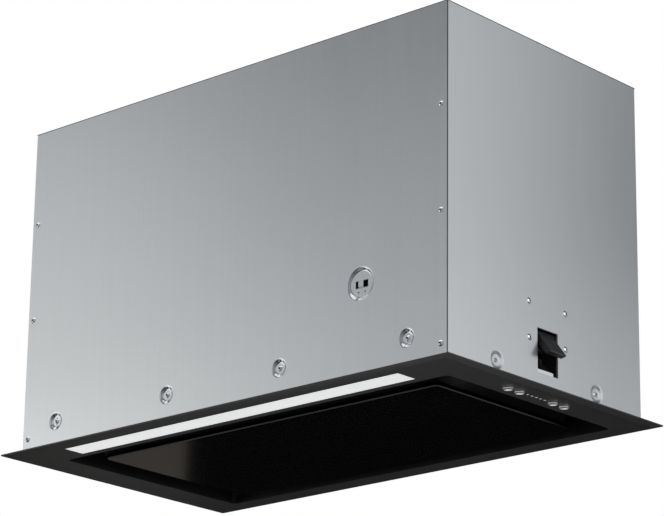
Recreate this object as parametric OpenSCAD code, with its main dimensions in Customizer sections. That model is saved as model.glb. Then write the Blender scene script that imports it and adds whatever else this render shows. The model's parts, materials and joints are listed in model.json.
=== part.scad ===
// Built-in range hood for the bottom of a wall cupboard, with perimeter intake.
// X runs along the width, the front is at -Y and Z points up.
// The origin is the middle of the casing's footprint, level with the flange's flat underside.

/* [Casing] */
// Width of the casing over its two side panels
casing_w = 495; // [480:1:700]
// Depth of the casing from the front face to the back face
casing_d = 259; // [255:1:300]
// Height of the casing's top above the underside of the flange
casing_h = 309; // [300:1:380]
// Thickness of the galvanised sheet
sheet_t = 0.8; // [0.6:0.1:1.2]
// Width of the folded edges that join the panels
fold_w = 15; // [13:1:18]
// Gap between a panel's edge and the outer face of the panel beside it
corner_gap = 0.6; // [0.2:0.1:1]
// Height of the lowest edge rivet
edge_rivet_low = 16; // [12:1:30]
// Height of the middle edge rivet
edge_rivet_mid = 127.5; // [90:0.5:160]
// Height of the highest edge rivet
edge_rivet_high = 219; // [180:1:280]
// Half the distance between the outer rivets along the front and back of the top
top_rivet_outer = 180; // [150:1:200]
// Half the distance between the inner rivets along the front and back of the top
top_rivet_inner = 110; // [100:1:130]
// Half the distance between the rivets along each side of the top
top_rivet_side = 80; // [60:1:100]

/* [Pressed dishes] */
// Radius of a small dish at the face of the panel
dish_r = 8.6; // [7.5:0.1:10]
// Radius of the flat floor of a small dish
dish_floor_r = 4.2; // [3.6:0.1:5]
// Depth of every dish
dish_deep = 1.8; // [1.2:0.1:2.4]
// Height of the dishes in the front and back panels
front_dish_z = 27; // [27:0.5:28]
// Half the distance between the outer front dishes
front_dish_outer = 205; // [190:1:212]
// Half the distance between the inner front dishes
front_dish_inner = 66; // [50:1:90]
// Height of the dishes in the side panels
side_dish_z = 15; // [14:0.5:17]
// Half the distance between the two dishes of a side panel
side_dish_y = 66.5; // [62:0.5:80]
// Radius of the large dish in the front panel
key_dish_r = 14.8; // [13:0.1:17]
// Radius of the floor of the large dish
key_floor_r = 11; // [10:0.1:12]
// Sideways place of the large dish
key_x = 155.4; // [120:0.1:190]
// Height of the large dish
key_z = 82.5; // [70:0.5:120]
// Width of the cable tie's bridge in the floor of the large dish
bridge_w = 5.3; // [4:0.1:6]
// Width of the slot on each side of the bridge
bridge_slot = 4.1; // [3:0.1:4.4]
// Height of the two slots
bridge_h = 6.2; // [5:0.1:7]
// Rise of the bridge above the dish's floor
bridge_rise = 1.4; // [1:0.1:1.6]

/* [Flange] */
// Overhang of the flange past each side of the casing
flange_side = 12.5; // [9:0.5:20]
// Overhang of the flange past the front and the back of the casing
flange_front = 14; // [9:0.5:20]
// Thickness of the flange's sheet
flange_t = 1.2; // [1:0.1:1.5]
// Width of the sloping rim of the flange
bevel_w = 8; // [4:0.5:9]
// Rise of the flange's outer edge above its flat underside
bevel_h = 0.8; // [0.3:0.1:1.5]
// Width of the flange in front of the intake opening
front_rail = 45.5; // [45:0.5:60]
// Width of the flange behind the intake opening
back_rail = 23.5; // [22.5:0.5:26]
// Width of the flange beside the intake opening
side_rail = 38; // [37.5:0.5:42]
// Height of the upturned lip round the intake opening
lip_h = 14; // [10:0.5:14.5]
// Corner radius of the intake opening
opening_r = 5; // [3:0.5:8]

/* [Intake panel] */
// Air gap between the panel and each end of the opening
gap_side = 28; // [20:0.5:32]
// Air gap between the panel and the front and back of the opening
gap_front = 20; // [17:0.5:24]
// Thickness of the glass
glass_t = 4; // [3.5:0.5:5]
// Recess of the glass above the flange's underside
glass_z = 0.6; // [0.2:0.1:1]
// Corner radius of the glass
glass_r = 4; // [2:0.5:8]
// Width of the ground edge of the glass
glass_edge = 0.9; // [0.5:0.1:1.4]
// Height of the walls of the tray behind the glass
tray_wall_h = 10; // [9:0.5:10.5]
// Thickness of the tray's sheet
tray_t = 1; // [0.8:0.1:1.2]
// Distance from the glass's edge to the tray's wall
tray_inset = 2; // [1:0.5:4]
// Half the distance between the two hinge arms
hinge_x = 140; // [100:1:160]
// Width of a hinge arm
hinge_arm_t = 3; // [2:0.5:4]
// Radius of a hinge pin
hinge_pin_r = 2; // [1.5:0.1:2.2]
// Half the distance between the two spring catches
catch_x = 110; // [90:1:150]

/* [Grease filter] */
// Height of the intake shelf above the underside of the flange
shelf_z = 38; // [37.5:0.5:39]
// Thickness of the filter cassette
filter_t = 9; // [8:0.5:9.5]
// Free space between the filter and the ends of the intake opening
filter_end_gap = 22; // [18:0.5:26]
// Free space between the filter and the front and back of the intake opening
filter_side_gap = 9; // [8:0.5:11]
// Width of the filter's rim
filter_rim = 9; // [8:0.5:12]
// Travel of the filter's latch
latch_travel = 5; // [3:0.5:6]

/* [Light] */
// Length of the light bar's window
light_w = 388; // [300:1:400]
// Width of the light bar's window
light_d = 22; // [18:0.5:22]
// Distance from the flange's front edge to the light bar's window
light_front = 16.5; // [16.5:0.25:17]
// Height of the light channel
light_h = 13; // [12.5:0.5:15]
// Number of lamps on the light board
lamp_count = 24; // [12:1:30]

/* [Controls] */
// Radius of a button
button_r = 4.9; // [4:0.1:5.2]
// Distance that a button stands below the flange
button_out = 1.2; // [0.6:0.1:1.6]
// Travel of a button
button_travel = 0.8; // [0.4:0.1:1]
// Distance from the middle of the controls to the inner buttons
button_near = 22.3; // [18:0.1:26]
// Distance between the two buttons of a pair
button_step = 15; // [13:0.1:18]
// Distance from the opening's edge to the line of buttons
button_in = 13.2; // [12:0.1:13.5]
// Distance between the indicator lamps
indicator_step = 5.7; // [4:0.1:6.5]
// Radius of an indicator lamp
indicator_r = 1.2; // [0.6:0.1:1.2]

/* [Side clamps] */
// Width of the clamp's window in the side panel
window_w = 27.2; // [25:0.2:30]
// Height of the clamp's window
window_h = 38.2; // [34:0.2:39]
// Height of the window's lower edge
window_z = 16.8; // [16:0.2:19.6]
// Width of the clamp's lever
lever_w = 20.8; // [16:0.2:22]
// Thickness of the clamp's lever
lever_t = 5.5; // [4:0.1:6]
// Length of the lever below its pivot
lever_l = 25.2; // [20:0.2:26]
// Tilt of the resting lever away from the side panel
lever_tilt = 37.5; // [25:0.5:45]
// Half the distance between the clamp's rivets, front to back
clamp_rivet_y = 24.4; // [23:0.1:27]
// Height of the clamp's lower rivets
clamp_rivet_low = 44; // [42:0.5:50]
// Height of the clamp's upper rivets
clamp_rivet_high = 75; // [68:0.5:90]
// Radius of a clamp pin
clamp_pin_r = 1.5; // [1.2:0.1:1.8]

/* [Outlet] */
// Outer radius of the duct collar
collar_r = 74.5; // [70:0.1:74.5]
// Wall of the duct collar
collar_wall = 2; // [1.5:0.1:2.5]
// Height of the duct collar above the casing
collar_h = 38; // [30:1:45]
// Distance from the collar's foot to the back edge of the top panel
collar_back = 3; // [3:0.5:7]
// Width of the collar's foot round its tube
collar_foot = 12; // [11:0.5:13]
// Thickness of a damper flap
flap_t = 1.2; // [1:0.1:1.6]
// Radius of the damper's pin
damper_pin_r = 1.5; // [1.2:0.1:1.8]

/* [Blower] */
// Height of the fan's axis
fan_z = 146; // [144:1:152]
// Distance from the blower's scroll to the front panel
fan_gap = 6.5; // [6.5:0.5:8.5]
// Outer radius of the impeller
wheel_r = 62; // [56:0.5:63]
// Half the width of the impeller
wheel_half = 48; // [44:1:54]
// Radial depth of a blade
blade_deep = 10; // [8:0.5:12]
// Number of blades on each side of the impeller
blade_count = 36; // [24:1:44]
// Thickness of a blade
blade_t = 1.1; // [0.8:0.1:1.4]
// Wall of the blower's housing
housing_t = 2; // [1.6:0.1:2.4]
// Width of the housing's joint flange
joint_w = 5; // [4:0.5:5]
// Clearance between the wheel and the scroll at the tongue
tongue_gap = 7; // [5:0.5:7]
// Growth of the scroll's radius from the tongue to the outlet
scroll_grow = 43; // [36:1:43]
// Radius of the motor's body
motor_r = 34; // [28:0.5:36]
// Radius of the motor's shaft
shaft_r = 4; // [3:0.5:5]

/* [Electrics] */
// Width of the control box
box_w = 110; // [90:1:120]
// Depth of the control box
box_d = 120; // [90:1:130]
// Height of the control box
box_h = 46; // [46:1:60]
// Wall of the control box
box_t = 2; // [1.5:0.1:2.5]
// Radius of the cable gland's bore
gland_bore_r = 4.2; // [3:0.1:5]
// Radius of the internal leads
lead_r = 2.6; // [2:0.1:3]
// Radius of a lead's bends
lead_bend = 12; // [8:1:14]

/* [Hidden] */
$fn = 48;

// Length by which a cutter passes through the face it cuts
cut = 1;
// Running clearance of a pin in its hole
run = 0.06;
// Free clearance of a piece in its seat
free = 0.2;
// Clearance of a screw, tube or lead in a hole that it doesn't turn in
snug = 0.1;

// Inner faces of the casing and levels of its main pieces
in_x = casing_w / 2 - sheet_t;
in_y = casing_d / 2 - sheet_t;
top_under = casing_h - sheet_t;
flange_w = casing_w + 2 * flange_side;
flange_d = casing_d + 2 * flange_front;
open_w = flange_w - 2 * side_rail;
open_d = flange_d - front_rail - back_rail;
open_y = (front_rail - back_rail) / 2;
rim_top = flange_t + bevel_h;
seat_gap = 0.3;
flange_tab_w = 18;
flange_tab_up = 8;

// Places of the rivets and dishes
edge_rivet_out = 1.5;
edge_x = in_x - fold_w / 2 + edge_rivet_out;
edge_zs = [edge_rivet_low, edge_rivet_mid, edge_rivet_high];
front_dish_xs = [-front_dish_outer, -front_dish_inner, front_dish_inner, front_dish_outer];
top_rivet_xs = [-top_rivet_outer, -top_rivet_inner, top_rivet_inner, top_rivet_outer];
top_rivet_ys = [-top_rivet_side, top_rivet_side];
fold_relief = 2;

// Rivet sizes
rivet_head_r = 2.9;
rivet_head_h = 1.3;
rivet_r = 1.6;
rivet_bulb_r = 2.4;
rivet_bulb_h = 2;
rivet_bore_r = 0.9;
rivet_hole_r = rivet_r + 0.05;
rivet_hole_deep = 12;

// Tie bridge and the two pilot holes under it
bridge_root = 0.6;
bridge_slope = 1;
pilot_r = 0.7;
pilot_x = 3.6;
pilot_drop = 6.6;

// Intake panel, its tray and its hinge
glass_w = open_w - 2 * gap_side;
glass_d = open_d - 2 * gap_front;
glass_top = glass_z + glass_t;
tray_w = glass_w - 2 * tray_inset;
tray_d = glass_d - 2 * tray_inset;
tray_top = glass_top + tray_wall_h;
hinge_stem = 7;
hinge_back = 4;
hinge_floor_gap = 0.9;
pivot_y = open_y + glass_d / 2 - hinge_back;
pivot_z = glass_top + hinge_stem / 2 + hinge_floor_gap;
hinge_neck_z = tray_top + 6;
hinge_cheek_t = 2;
hinge_cheek_l = 12;
hinge_cheek_h = 3;
hinge_boss_r = hinge_pin_r + 2.4;
hinge_notch = hinge_arm_t / 2 + 1;
hinge_notch_l = 8;
hinge_foot_w = 16;
hinge_foot_t = 1.5;
hinge_foot_gap = 1.2;
tray_r = 3;
tongue_y = open_y - tray_d / 2 + tray_t;
tongue_h = 9;
tongue_t = 1.2;
tongue_l = 6;
tongue_hole_r = 0.8;
tongue_hole_drop = 3;

// Spring catches
catch_w = 14;
catch_gap = 1.6;
catch_back_t = 5;
catch_back_gap = 1;
catch_grip = tongue_t / 2 + 0.25;
catch_mouth_w = 6.8;
catch_mouth_h = 2.4;
catch_screw_x = 4;
catch_screw_r = 1.2;
catch_screw_deep = 5;

// Intake tray
shelf_x = in_x - dish_deep;
shelf_y = in_y - dish_deep;
shelf_top = shelf_z + sheet_t;
clamp_notch_y = clamp_rivet_y + 9;
clamp_notch_x = in_x - 20;
front_wall_z = front_dish_z - 9.5;
side_wall_z = side_dish_z - 8.5;
tray_corner = 6;

// Grease filter
filter_w = open_w - 2 * filter_end_gap;
filter_d = open_d - 2 * filter_side_gap;
filter_z = shelf_z - filter_t;
filter_front = open_y - filter_d / 2;
filter_back = open_y + filter_d / 2;
filter_sheet = 1;
filter_r = 5;
mesh_t = 6;
mesh_z = filter_z + (filter_t - mesh_t) / 2;
mesh_in = 5.8;
mesh_edge = 5.5;
mesh_r = 3;
mesh_w = filter_w - 2 * (filter_rim - mesh_in);
mesh_d = filter_d - 2 * (filter_rim - mesh_in);
strand_pitch = 13;
strand_w = 1.3;
latch_w = 60;
latch_h = 5.8;
latch_d = 14;
latch_bolt_w = 20;
latch_nose = 3;
pocket_w = latch_w + 8;
pocket_d = 28;
pull_w = 36;
pull_y = 11;
pull_t = 2;
hook_x = 90;
hook_w = 18;
hook_t = 1;
hook_gap = 0.5;
hook_reach = 3.4;
latch_hook_w = 28;
latch_hook_gap = 5.5;
latch_hook_l = 4;

// Light bar
light_y0 = -flange_d / 2 + light_front;
light_y = light_y0 + light_d / 2;
channel_t = 0.8;
channel_in = light_d + 0.8;
channel_w = light_w + 8;
channel_roof = 1.2;
cap_t = 2;
led_end = 6;
led_strip_w = 12;
led_w = 3;
led_h = 0.8;
diffuser_gap = 0.15;
diffuser_foot = 1.6;
diffuser_foot_t = 2.4;

// Controls on the right-hand rail of the flange
button_x = open_w / 2 + button_in;
button_ys = [-button_near - button_step, -button_near, button_near, button_near + button_step];
control_x0 = open_w / 2 + flange_t + free;
control_x1 = shelf_x - sheet_t - flange_t - free;
control_l = 2 * (button_near + button_step) + 22;
control_h = 16.5;
control_wall = 1.6;
guide_z = flange_t + 3.6;
guide_t = 2;
stem_r = 2.2;
board_z = 12;
board_t = 1.6;
switch_h = 2.6;

// Side clamps
window_top = window_z + window_h;
pivot_in = 6;
clamp_pivot_x = casing_w / 2 - pivot_in;
clamp_pivot_z = window_top - 3.2;
bracket_t = 1;
bracket_lip = 3.2;
bracket_notch = 5.4;
spring_t = 0.5;
spring_w = 8;
cheek_y = window_w / 2 + 0.2;
cheek_deep = 15;
hub_r = 3.1;
lever_back = lever_t / 2;

// Outlet
collar_in = collar_r - collar_wall;
foot_r = collar_r + collar_foot;
collar_y = casing_d / 2 - foot_r - collar_back;
collar_hole_r = 2.05;
foot_t = 2.5;
ledge_z = casing_h + 6;
flap_ledge = 3;
flap_r = collar_in - 0.8;
inner_knuckle = 14;
outer_knuckle = 36;
flap_z = ledge_z + 1.4;
damper_z = flap_z + flap_t + 0.8;
knuckle_r = damper_pin_r + 1.4;
knuckle_l = 18;
collar_screw_r = collar_r + collar_foot / 2;

// Blower
tongue_a = 60;
tongue_r = wheel_r + tongue_gap;
fan_front = in_y - fan_gap - scroll_r(180) - housing_t;
neck_in = tongue_r * cos(tongue_a);
neck_out = tongue_r + scroll_grow;
neck_y = -fan_front + (neck_in + neck_out) / 2;
neck_d = neck_out - neck_in;
housing_half = wheel_half + 7;
neck_top = 240;
eye_r = wheel_r - blade_deep - 4;
bell_r = 8;
adapter_flange_t = 3;
motor_screw_r = motor_r - 13;
bracket_screw_r = eye_r + bell_r + 5;
bracket_arm_w = 12;
bracket_arm_t = 3;
motor_x1 = housing_half + housing_t;
motor_x0 = 9;
neck_lip = 8;
neck_plate_t = 3;
screw_r = 1.5;
lug_angles = [90, 150, 210, 270, 330];
bracket_angles = [90, 210, 330];

// Electrics
box_x = -in_x + 16 + box_w / 2;
box_y = 0;
box_z = top_under - box_h;
gland_x = box_x;
gland_y = 20;
gland_r = 8;
gland_hex = 12;
post_h = 6;
board_gap = 5;
capacitor_r = 12;
capacitor_l = 44;
part_edge = 5;
transformer = [32, 28, 20.4];
relay = [24, 12, 14];
relay_start = part_edge + transformer[1] + 3;
terminals = [12, 60, 10.4];
capacitor_in = part_edge + terminals[0] + capacitor_r + 1;
motor_lead_y = 30;
lead_z = top_under - 22;
lead_back = in_y - 12;
lead_x = button_x - 2.5;
lead_low_z = 9.8;
grommet_r = lead_r + 2;

// Rectangle with rounded corners, drawn about its middle
module round_rect(w, d, r) {
  square([w - 2 * r, d], center = true);
  square([w, d - 2 * r], center = true);
  for (sx = [-1, 1], sy = [-1, 1])
    translate([sx * (w / 2 - r), sy * (d / 2 - r)]) circle(r = r);
}

// Block between two corners
module block(lo, hi) {
  translate(lo) cube(hi - lo);
}

// Places round work on a wall of the casing, with local +Z pointing inwards
module on_front(x, z) {
  translate([x, -casing_d / 2, z]) rotate([-90, 0, 0]) children();
}
module on_back(x, z) {
  translate([x, casing_d / 2, z]) rotate([90, 0, 0]) children();
}
module on_right(y, z) {
  translate([casing_w / 2, y, z]) rotate([0, -90, 0]) children();
}
module on_left(y, z) {
  translate([-casing_w / 2, y, z]) rotate([0, 90, 0]) children();
}
module on_top(x, y) {
  translate([x, y, casing_h]) rotate([180, 0, 0]) children();
}

// Depth of a dish at radius q, from its rim r to its floor f
function dish_at(q, r, f) = dish_deep * (0.5 + 0.5 * cos(180 * (q - f) / (r - f)));
function dish_curve(r, f, lift) = [for (i = [0:8]) let (q = f + (r - f) * i / 8) [q, dish_at(q, r, f) + lift]];

module dish_bulge(r, f) {
  rotate_extrude() polygon(concat([[0, 0], [0, dish_deep + sheet_t]], dish_curve(r, f, sheet_t), [[r, 0]]));
}
module dish_cut(r, f) {
  rotate_extrude() polygon(concat([[0, -cut], [0, dish_deep]], dish_curve(r, f, 0), [[r, -cut]]));
}

// Blind rivet with its head outside and its bulb inside, through a stack of sheets
module rivet(grip) {
  dome_r = (rivet_head_r * rivet_head_r + rivet_head_h * rivet_head_h) / (2 * rivet_head_h);
  difference() {
    union() {
      intersection() {
        translate([0, 0, dome_r - rivet_head_h]) sphere(r = dome_r);
        translate([0, 0, -rivet_head_h]) cylinder(h = rivet_head_h, r = rivet_head_r + cut);
      }
      cylinder(h = grip, r = rivet_r);
      translate([0, 0, grip]) cylinder(h = rivet_bulb_h, r1 = rivet_bulb_r, r2 = rivet_r);
    }
    translate([0, 0, -rivet_head_h - cut]) cylinder(h = rivet_head_h + grip + cut, r = rivet_bore_r);
  }
}

module rivet_hole() {
  translate([0, 0, -cut]) cylinder(h = rivet_hole_deep, r = rivet_hole_r);
}

// Opening in the floor of the large dish that the tie bridge crosses, with two pilot holes under it
module tie_opening() {
  width = bridge_w + 2 * bridge_slot;
  translate([-width / 2, -bridge_h / 2, dish_deep - cut]) cube([width, bridge_h, sheet_t + 2 * cut]);
  for (sx = [-1, 1])
    translate([sx * pilot_x, pilot_drop, dish_deep - cut]) cylinder(h = sheet_t + 2 * cut, r = pilot_r);
}

// Lanced strip that bows out of the floor, for a cable tie
module tie_bridge() {
  root = bridge_h / 2 + bridge_root;
  top = bridge_h / 2 - bridge_slope;
  out = dish_deep - bridge_rise;
  translate([-bridge_w / 2, 0, 0]) rotate([90, 0, 90]) linear_extrude(bridge_w)
    polygon([[-root, dish_deep], [-top, out], [top, out], [root, dish_deep],
             [root, dish_deep + sheet_t], [top, out + sheet_t], [-top, out + sheet_t], [-root, dish_deep + sheet_t]]);
}

// Wall panel between the side panels, with its top fold, dishes and rivet holes
module long_panel(keyed) {
  half_w = casing_w / 2 - corner_gap;
  fold_end = in_x - fold_w - fold_relief;
  if (keyed)
    on_front(key_x, key_z) tie_bridge();
  difference() {
    union() {
      block([-half_w, -casing_d / 2, flange_t], [half_w, -in_y, top_under]);
      block([-fold_end, -casing_d / 2, top_under - sheet_t], [fold_end, -casing_d / 2 + fold_w, top_under]);
      for (x = front_dish_xs)
        on_front(x, front_dish_z) dish_bulge(dish_r, dish_floor_r);
      if (keyed)
        on_front(key_x, key_z) dish_bulge(key_dish_r, key_floor_r);
    }
    for (x = front_dish_xs)
      on_front(x, front_dish_z) {
        dish_cut(dish_r, dish_floor_r);
        rivet_hole();
      }
    if (keyed)
      on_front(key_x, key_z) {
        dish_cut(key_dish_r, key_floor_r);
        tie_opening();
      }
    for (sx = [-1, 1], z = edge_zs)
      on_front(sx * edge_x, z) rivet_hole();
    for (x = top_rivet_xs)
      on_top(x, -casing_d / 2 + fold_w / 2) rivet_hole();
  }
}

module front_panel() {
  color("silver") long_panel(true);
}

module back_panel() {
  color("silver") mirror([0, 1, 0]) long_panel(false);
}

// Side panel with its three folds, clamp window and dishes
module side_panel() {
  difference() {
    union() {
      block([in_x, -in_y, flange_t], [casing_w / 2, in_y, top_under]);
      for (sy = [-1, 1]) {
        mirror([0, sy > 0 ? 1 : 0, 0])
          block([casing_w / 2 - fold_w, -in_y, flange_t], [in_x, -in_y + sheet_t, top_under]);
      }
      block([casing_w / 2 - fold_w, -in_y + sheet_t, top_under - sheet_t], [in_x, in_y - sheet_t, top_under]);
      for (sy = [-1, 1])
        on_right(sy * side_dish_y, side_dish_z) dish_bulge(dish_r, dish_floor_r);
    }
    for (sy = [-1, 1])
      on_right(sy * side_dish_y, side_dish_z) {
        dish_cut(dish_r, dish_floor_r);
        rivet_hole();
      }
    translate([in_x - cut, -window_w / 2, window_z]) cube([sheet_t + 2 * cut, window_w, window_h]);
    for (sy = [-1, 1], z = [clamp_rivet_low, clamp_rivet_high])
      on_right(sy * clamp_rivet_y, z) rivet_hole();
    for (z = edge_zs) {
      on_front(edge_x, z) rivet_hole();
      on_back(edge_x, z) rivet_hole();
    }
    for (y = top_rivet_ys)
      on_top(casing_w / 2 - fold_w / 2, y) rivet_hole();
  }
}

module right_side_panel() {
  color("silver") side_panel();
}

module left_side_panel() {
  color("silver") mirror([1, 0, 0]) side_panel();
}

module top_panel() {
  color("silver") difference() {
    block([-casing_w / 2, -casing_d / 2, top_under], [casing_w / 2, casing_d / 2, casing_h]);
    translate([0, collar_y, 0]) cylinder(h = casing_h + cut, r = collar_in, $fn = 96);
    translate([gland_x, gland_y, 0]) cylinder(h = casing_h + cut, r = gland_r + snug);
    for (x = top_rivet_xs, sy = [-1, 1])
      on_top(x, sy * (casing_d / 2 - fold_w / 2)) rivet_hole();
    for (sx = [-1, 1], y = top_rivet_ys)
      on_top(sx * (casing_w / 2 - fold_w / 2), y) rivet_hole();
    for (a = [45:90:315])
      translate([collar_screw_r * cos(a), collar_y + collar_screw_r * sin(a), 0])
        cylinder(h = casing_h + cut, r = collar_hole_r);
  }
}

module edge_rivets() {
  color("gainsboro") for (sx = [-1, 1], z = edge_zs) {
    on_front(sx * edge_x, z) rivet(2 * sheet_t);
    on_back(sx * edge_x, z) rivet(2 * sheet_t);
  }
}

module seat_rivets() {
  color("gainsboro") {
    for (x = front_dish_xs) {
      on_front(x, front_dish_z) translate([0, 0, dish_deep]) rivet(2 * sheet_t);
      on_back(x, front_dish_z) translate([0, 0, dish_deep]) rivet(2 * sheet_t);
    }
    for (sy = [-1, 1]) {
      on_right(sy * side_dish_y, side_dish_z) translate([0, 0, dish_deep]) rivet(2 * sheet_t + flange_t);
      on_left(sy * side_dish_y, side_dish_z) translate([0, 0, dish_deep]) rivet(2 * sheet_t + flange_t);
    }
  }
}

module top_rivets() {
  color("gainsboro") {
    for (x = top_rivet_xs, sy = [-1, 1])
      on_top(x, sy * (casing_d / 2 - fold_w / 2)) rivet(2 * sheet_t);
    for (sx = [-1, 1], y = top_rivet_ys)
      on_top(sx * (casing_w / 2 - fold_w / 2), y) rivet(2 * sheet_t);
  }
}

module clamp_rivets() {
  color("gainsboro") for (sy = [-1, 1], z = [clamp_rivet_low, clamp_rivet_high]) {
    on_right(sy * clamp_rivet_y, z) rivet(sheet_t + bracket_t);
    on_left(sy * clamp_rivet_y, z) rivet(sheet_t + bracket_t);
  }
}

// One sloping side of the flange's rim, mitred at both ends
module rim_strip(length) {
  translate([-length / 2, 0, 0]) intersection() {
    rotate([90, 0, 90]) linear_extrude(length)
      polygon([[0, bevel_h], [bevel_w, 0], [bevel_w, rim_top], [0, rim_top]]);
    linear_extrude(rim_top)
      polygon([[0, 0], [length, 0], [length - bevel_w, bevel_w], [bevel_w, bevel_w]]);
  }
}

// Black frame round the intake, with a lip round the opening and four tabs that the seat rivets hold
module flange_frame() {
  tab_x = shelf_x - sheet_t;
  color([0.1, 0.1, 0.11]) difference() {
    union() {
      linear_extrude(flange_t) square([flange_w - 2 * bevel_w, flange_d - 2 * bevel_w], center = true);
      linear_extrude(rim_top) difference() {
        square([flange_w - 2 * bevel_w, flange_d - 2 * bevel_w], center = true);
        square([casing_w + 2 * seat_gap, casing_d + 2 * seat_gap], center = true);
      }
      for (a = [0, 180]) {
        rotate([0, 0, a]) translate([0, -flange_d / 2, 0]) rim_strip(flange_w);
        rotate([0, 0, a + 90]) translate([0, -flange_w / 2, 0]) rim_strip(flange_d);
      }
      translate([0, open_y, 0]) linear_extrude(lip_h)
        round_rect(open_w + 2 * flange_t, open_d + 2 * flange_t, opening_r + flange_t);
      for (sx = [-1, 1], sy = [-1, 1])
        block([sx > 0 ? tab_x - flange_t : -tab_x, sy * side_dish_y - flange_tab_w / 2, 0],
              [sx > 0 ? tab_x : -tab_x + flange_t, sy * side_dish_y + flange_tab_w / 2, side_dish_z + flange_tab_up]);
    }
    translate([0, open_y, -cut]) linear_extrude(lip_h + 2 * cut) round_rect(open_w, open_d, opening_r);
    translate([-light_w / 2, light_y0, -cut]) cube([light_w, light_d, flange_t + 2 * cut]);
    for (y = button_ys)
      translate([button_x, y, -cut]) cylinder(h = flange_t + 2 * cut, r = button_r + free);
    for (i = [-2:2])
      translate([button_x, i * indicator_step, -cut]) cylinder(h = flange_t + 2 * cut, r = indicator_r + snug / 2);
    for (sy = [-1, 1]) {
      on_right(sy * side_dish_y, side_dish_z) rivet_hole();
      on_left(sy * side_dish_y, side_dish_z) rivet_hole();
    }
  }
}

// Folded tray that divides the intake from the blower, with the filter's opening
module intake_tray() {
  hook_y = filter_back + hook_gap;
  latch_hook_y = filter_front - latch_hook_gap;
  color([0.16, 0.16, 0.17]) difference() {
    union() {
      block([-shelf_x, -shelf_y, shelf_z], [shelf_x, shelf_y, shelf_top]);
      for (sy = [-1, 1])
        mirror([0, sy > 0 ? 1 : 0, 0])
          block([-shelf_x + tray_corner, -shelf_y, front_wall_z],
                [shelf_x - tray_corner, -shelf_y + sheet_t, shelf_z]);
      for (sx = [-1, 1])
        mirror([sx > 0 ? 1 : 0, 0, 0])
          block([-shelf_x, -shelf_y + tray_corner, side_wall_z],
                [-shelf_x + sheet_t, shelf_y - tray_corner, shelf_z]);
      for (sx = [-1, 1]) {
        block([sx * hook_x - hook_w / 2, hook_y + hook_reach - hook_t, filter_z],
              [sx * hook_x + hook_w / 2, hook_y + hook_reach, shelf_z]);
        block([sx * hook_x - hook_w / 2, hook_y - hook_t, filter_z],
              [sx * hook_x + hook_w / 2, hook_y + hook_reach, filter_z + hook_t - snug]);
      }
      block([-latch_hook_w / 2, latch_hook_y - hook_t, filter_z - free], [latch_hook_w / 2, latch_hook_y, shelf_z]);
      block([-latch_hook_w / 2, latch_hook_y - hook_t, filter_z - free],
            [latch_hook_w / 2, latch_hook_y + latch_hook_l, filter_z - free + hook_t]);
    }
    translate([0, open_y, shelf_z - cut]) linear_extrude(sheet_t + 2 * cut)
      round_rect(filter_w - 2 * filter_rim, filter_d - 2 * filter_rim, filter_r + 1);
    for (sx = [-1, 1])
      mirror([sx > 0 ? 1 : 0, 0, 0])
        block([-shelf_x - cut, -clamp_notch_y, 0], [-clamp_notch_x, clamp_notch_y, shelf_top + cut]);
    translate([lead_x, lead_back, shelf_z - cut]) cylinder(h = sheet_t + 2 * cut, r = grommet_r);
    for (x = front_dish_xs) {
      on_front(x, front_dish_z) rivet_hole();
      on_back(x, front_dish_z) rivet_hole();
    }
    for (sy = [-1, 1]) {
      on_right(sy * side_dish_y, side_dish_z) rivet_hole();
      on_left(sy * side_dish_y, side_dish_z) rivet_hole();
    }
  }
}

// Black glass with rounded corners and a ground edge all round its lower face
module glass_panel() {
  color([0.02, 0.02, 0.025]) translate([0, open_y, glass_z]) hull()
    for (sx = [-1, 1], sy = [-1, 1])
      translate([sx * (glass_w / 2 - glass_r), sy * (glass_d / 2 - glass_r), 0]) {
        cylinder(h = glass_edge, r1 = glass_r - glass_edge, r2 = glass_r, $fn = 32);
        translate([0, 0, glass_edge]) cylinder(h = glass_t - glass_edge, r = glass_r, $fn = 32);
      }
}

// Steel tray bonded to the glass, with hinge cheeks at the back and catch tongues at the front
module panel_tray() {
  floor_z = glass_top;
  cheek_in = hinge_notch + free;
  color([0.12, 0.12, 0.13]) difference() {
    union() {
      translate([0, open_y, floor_z]) linear_extrude(tray_wall_h) difference() {
        round_rect(tray_w, tray_d, tray_r);
        round_rect(tray_w - 2 * tray_t, tray_d - 2 * tray_t, tray_r - tray_t);
      }
      translate([0, open_y, floor_z]) linear_extrude(tray_t) round_rect(tray_w, tray_d, tray_r);
      for (sx = [-1, 1], sc = [-1, 1])
        translate([sx * hinge_x + sc * (cheek_in + hinge_cheek_t / 2), 0, 0]) {
          block([-hinge_cheek_t / 2, pivot_y - hinge_cheek_l, floor_z],
                [hinge_cheek_t / 2, open_y + tray_d / 2, floor_z + tray_t + hinge_cheek_h]);
          translate([-hinge_cheek_t / 2, pivot_y, pivot_z]) rotate([0, 90, 0])
            cylinder(h = hinge_cheek_t, r = hinge_boss_r);
        }
      for (sx = [-1, 1])
        block([sx * catch_x - tongue_t / 2, tongue_y, floor_z],
              [sx * catch_x + tongue_t / 2, tongue_y + tongue_l, tray_top + tongue_h]);
    }
    for (sx = [-1, 1]) {
      translate([sx * hinge_x - hinge_notch, pivot_y - hinge_notch_l, floor_z - cut])
        cube([2 * hinge_notch, hinge_notch_l + glass_d, tray_wall_h + 2 * cut]);
      translate([sx * hinge_x, pivot_y, pivot_z]) rotate([0, 90, 0])
        cylinder(h = 2 * (cheek_in + hinge_cheek_t + cut), r = hinge_pin_r, center = true);
      for (q = [0.3, 0.7])
        translate([sx * catch_x - tongue_t, tongue_y + tongue_l * q, tray_top + tongue_h - tongue_hole_drop])
          rotate([0, 90, 0]) cylinder(h = 2 * tongue_t, r = tongue_hole_r);
    }
  }
}

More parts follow.
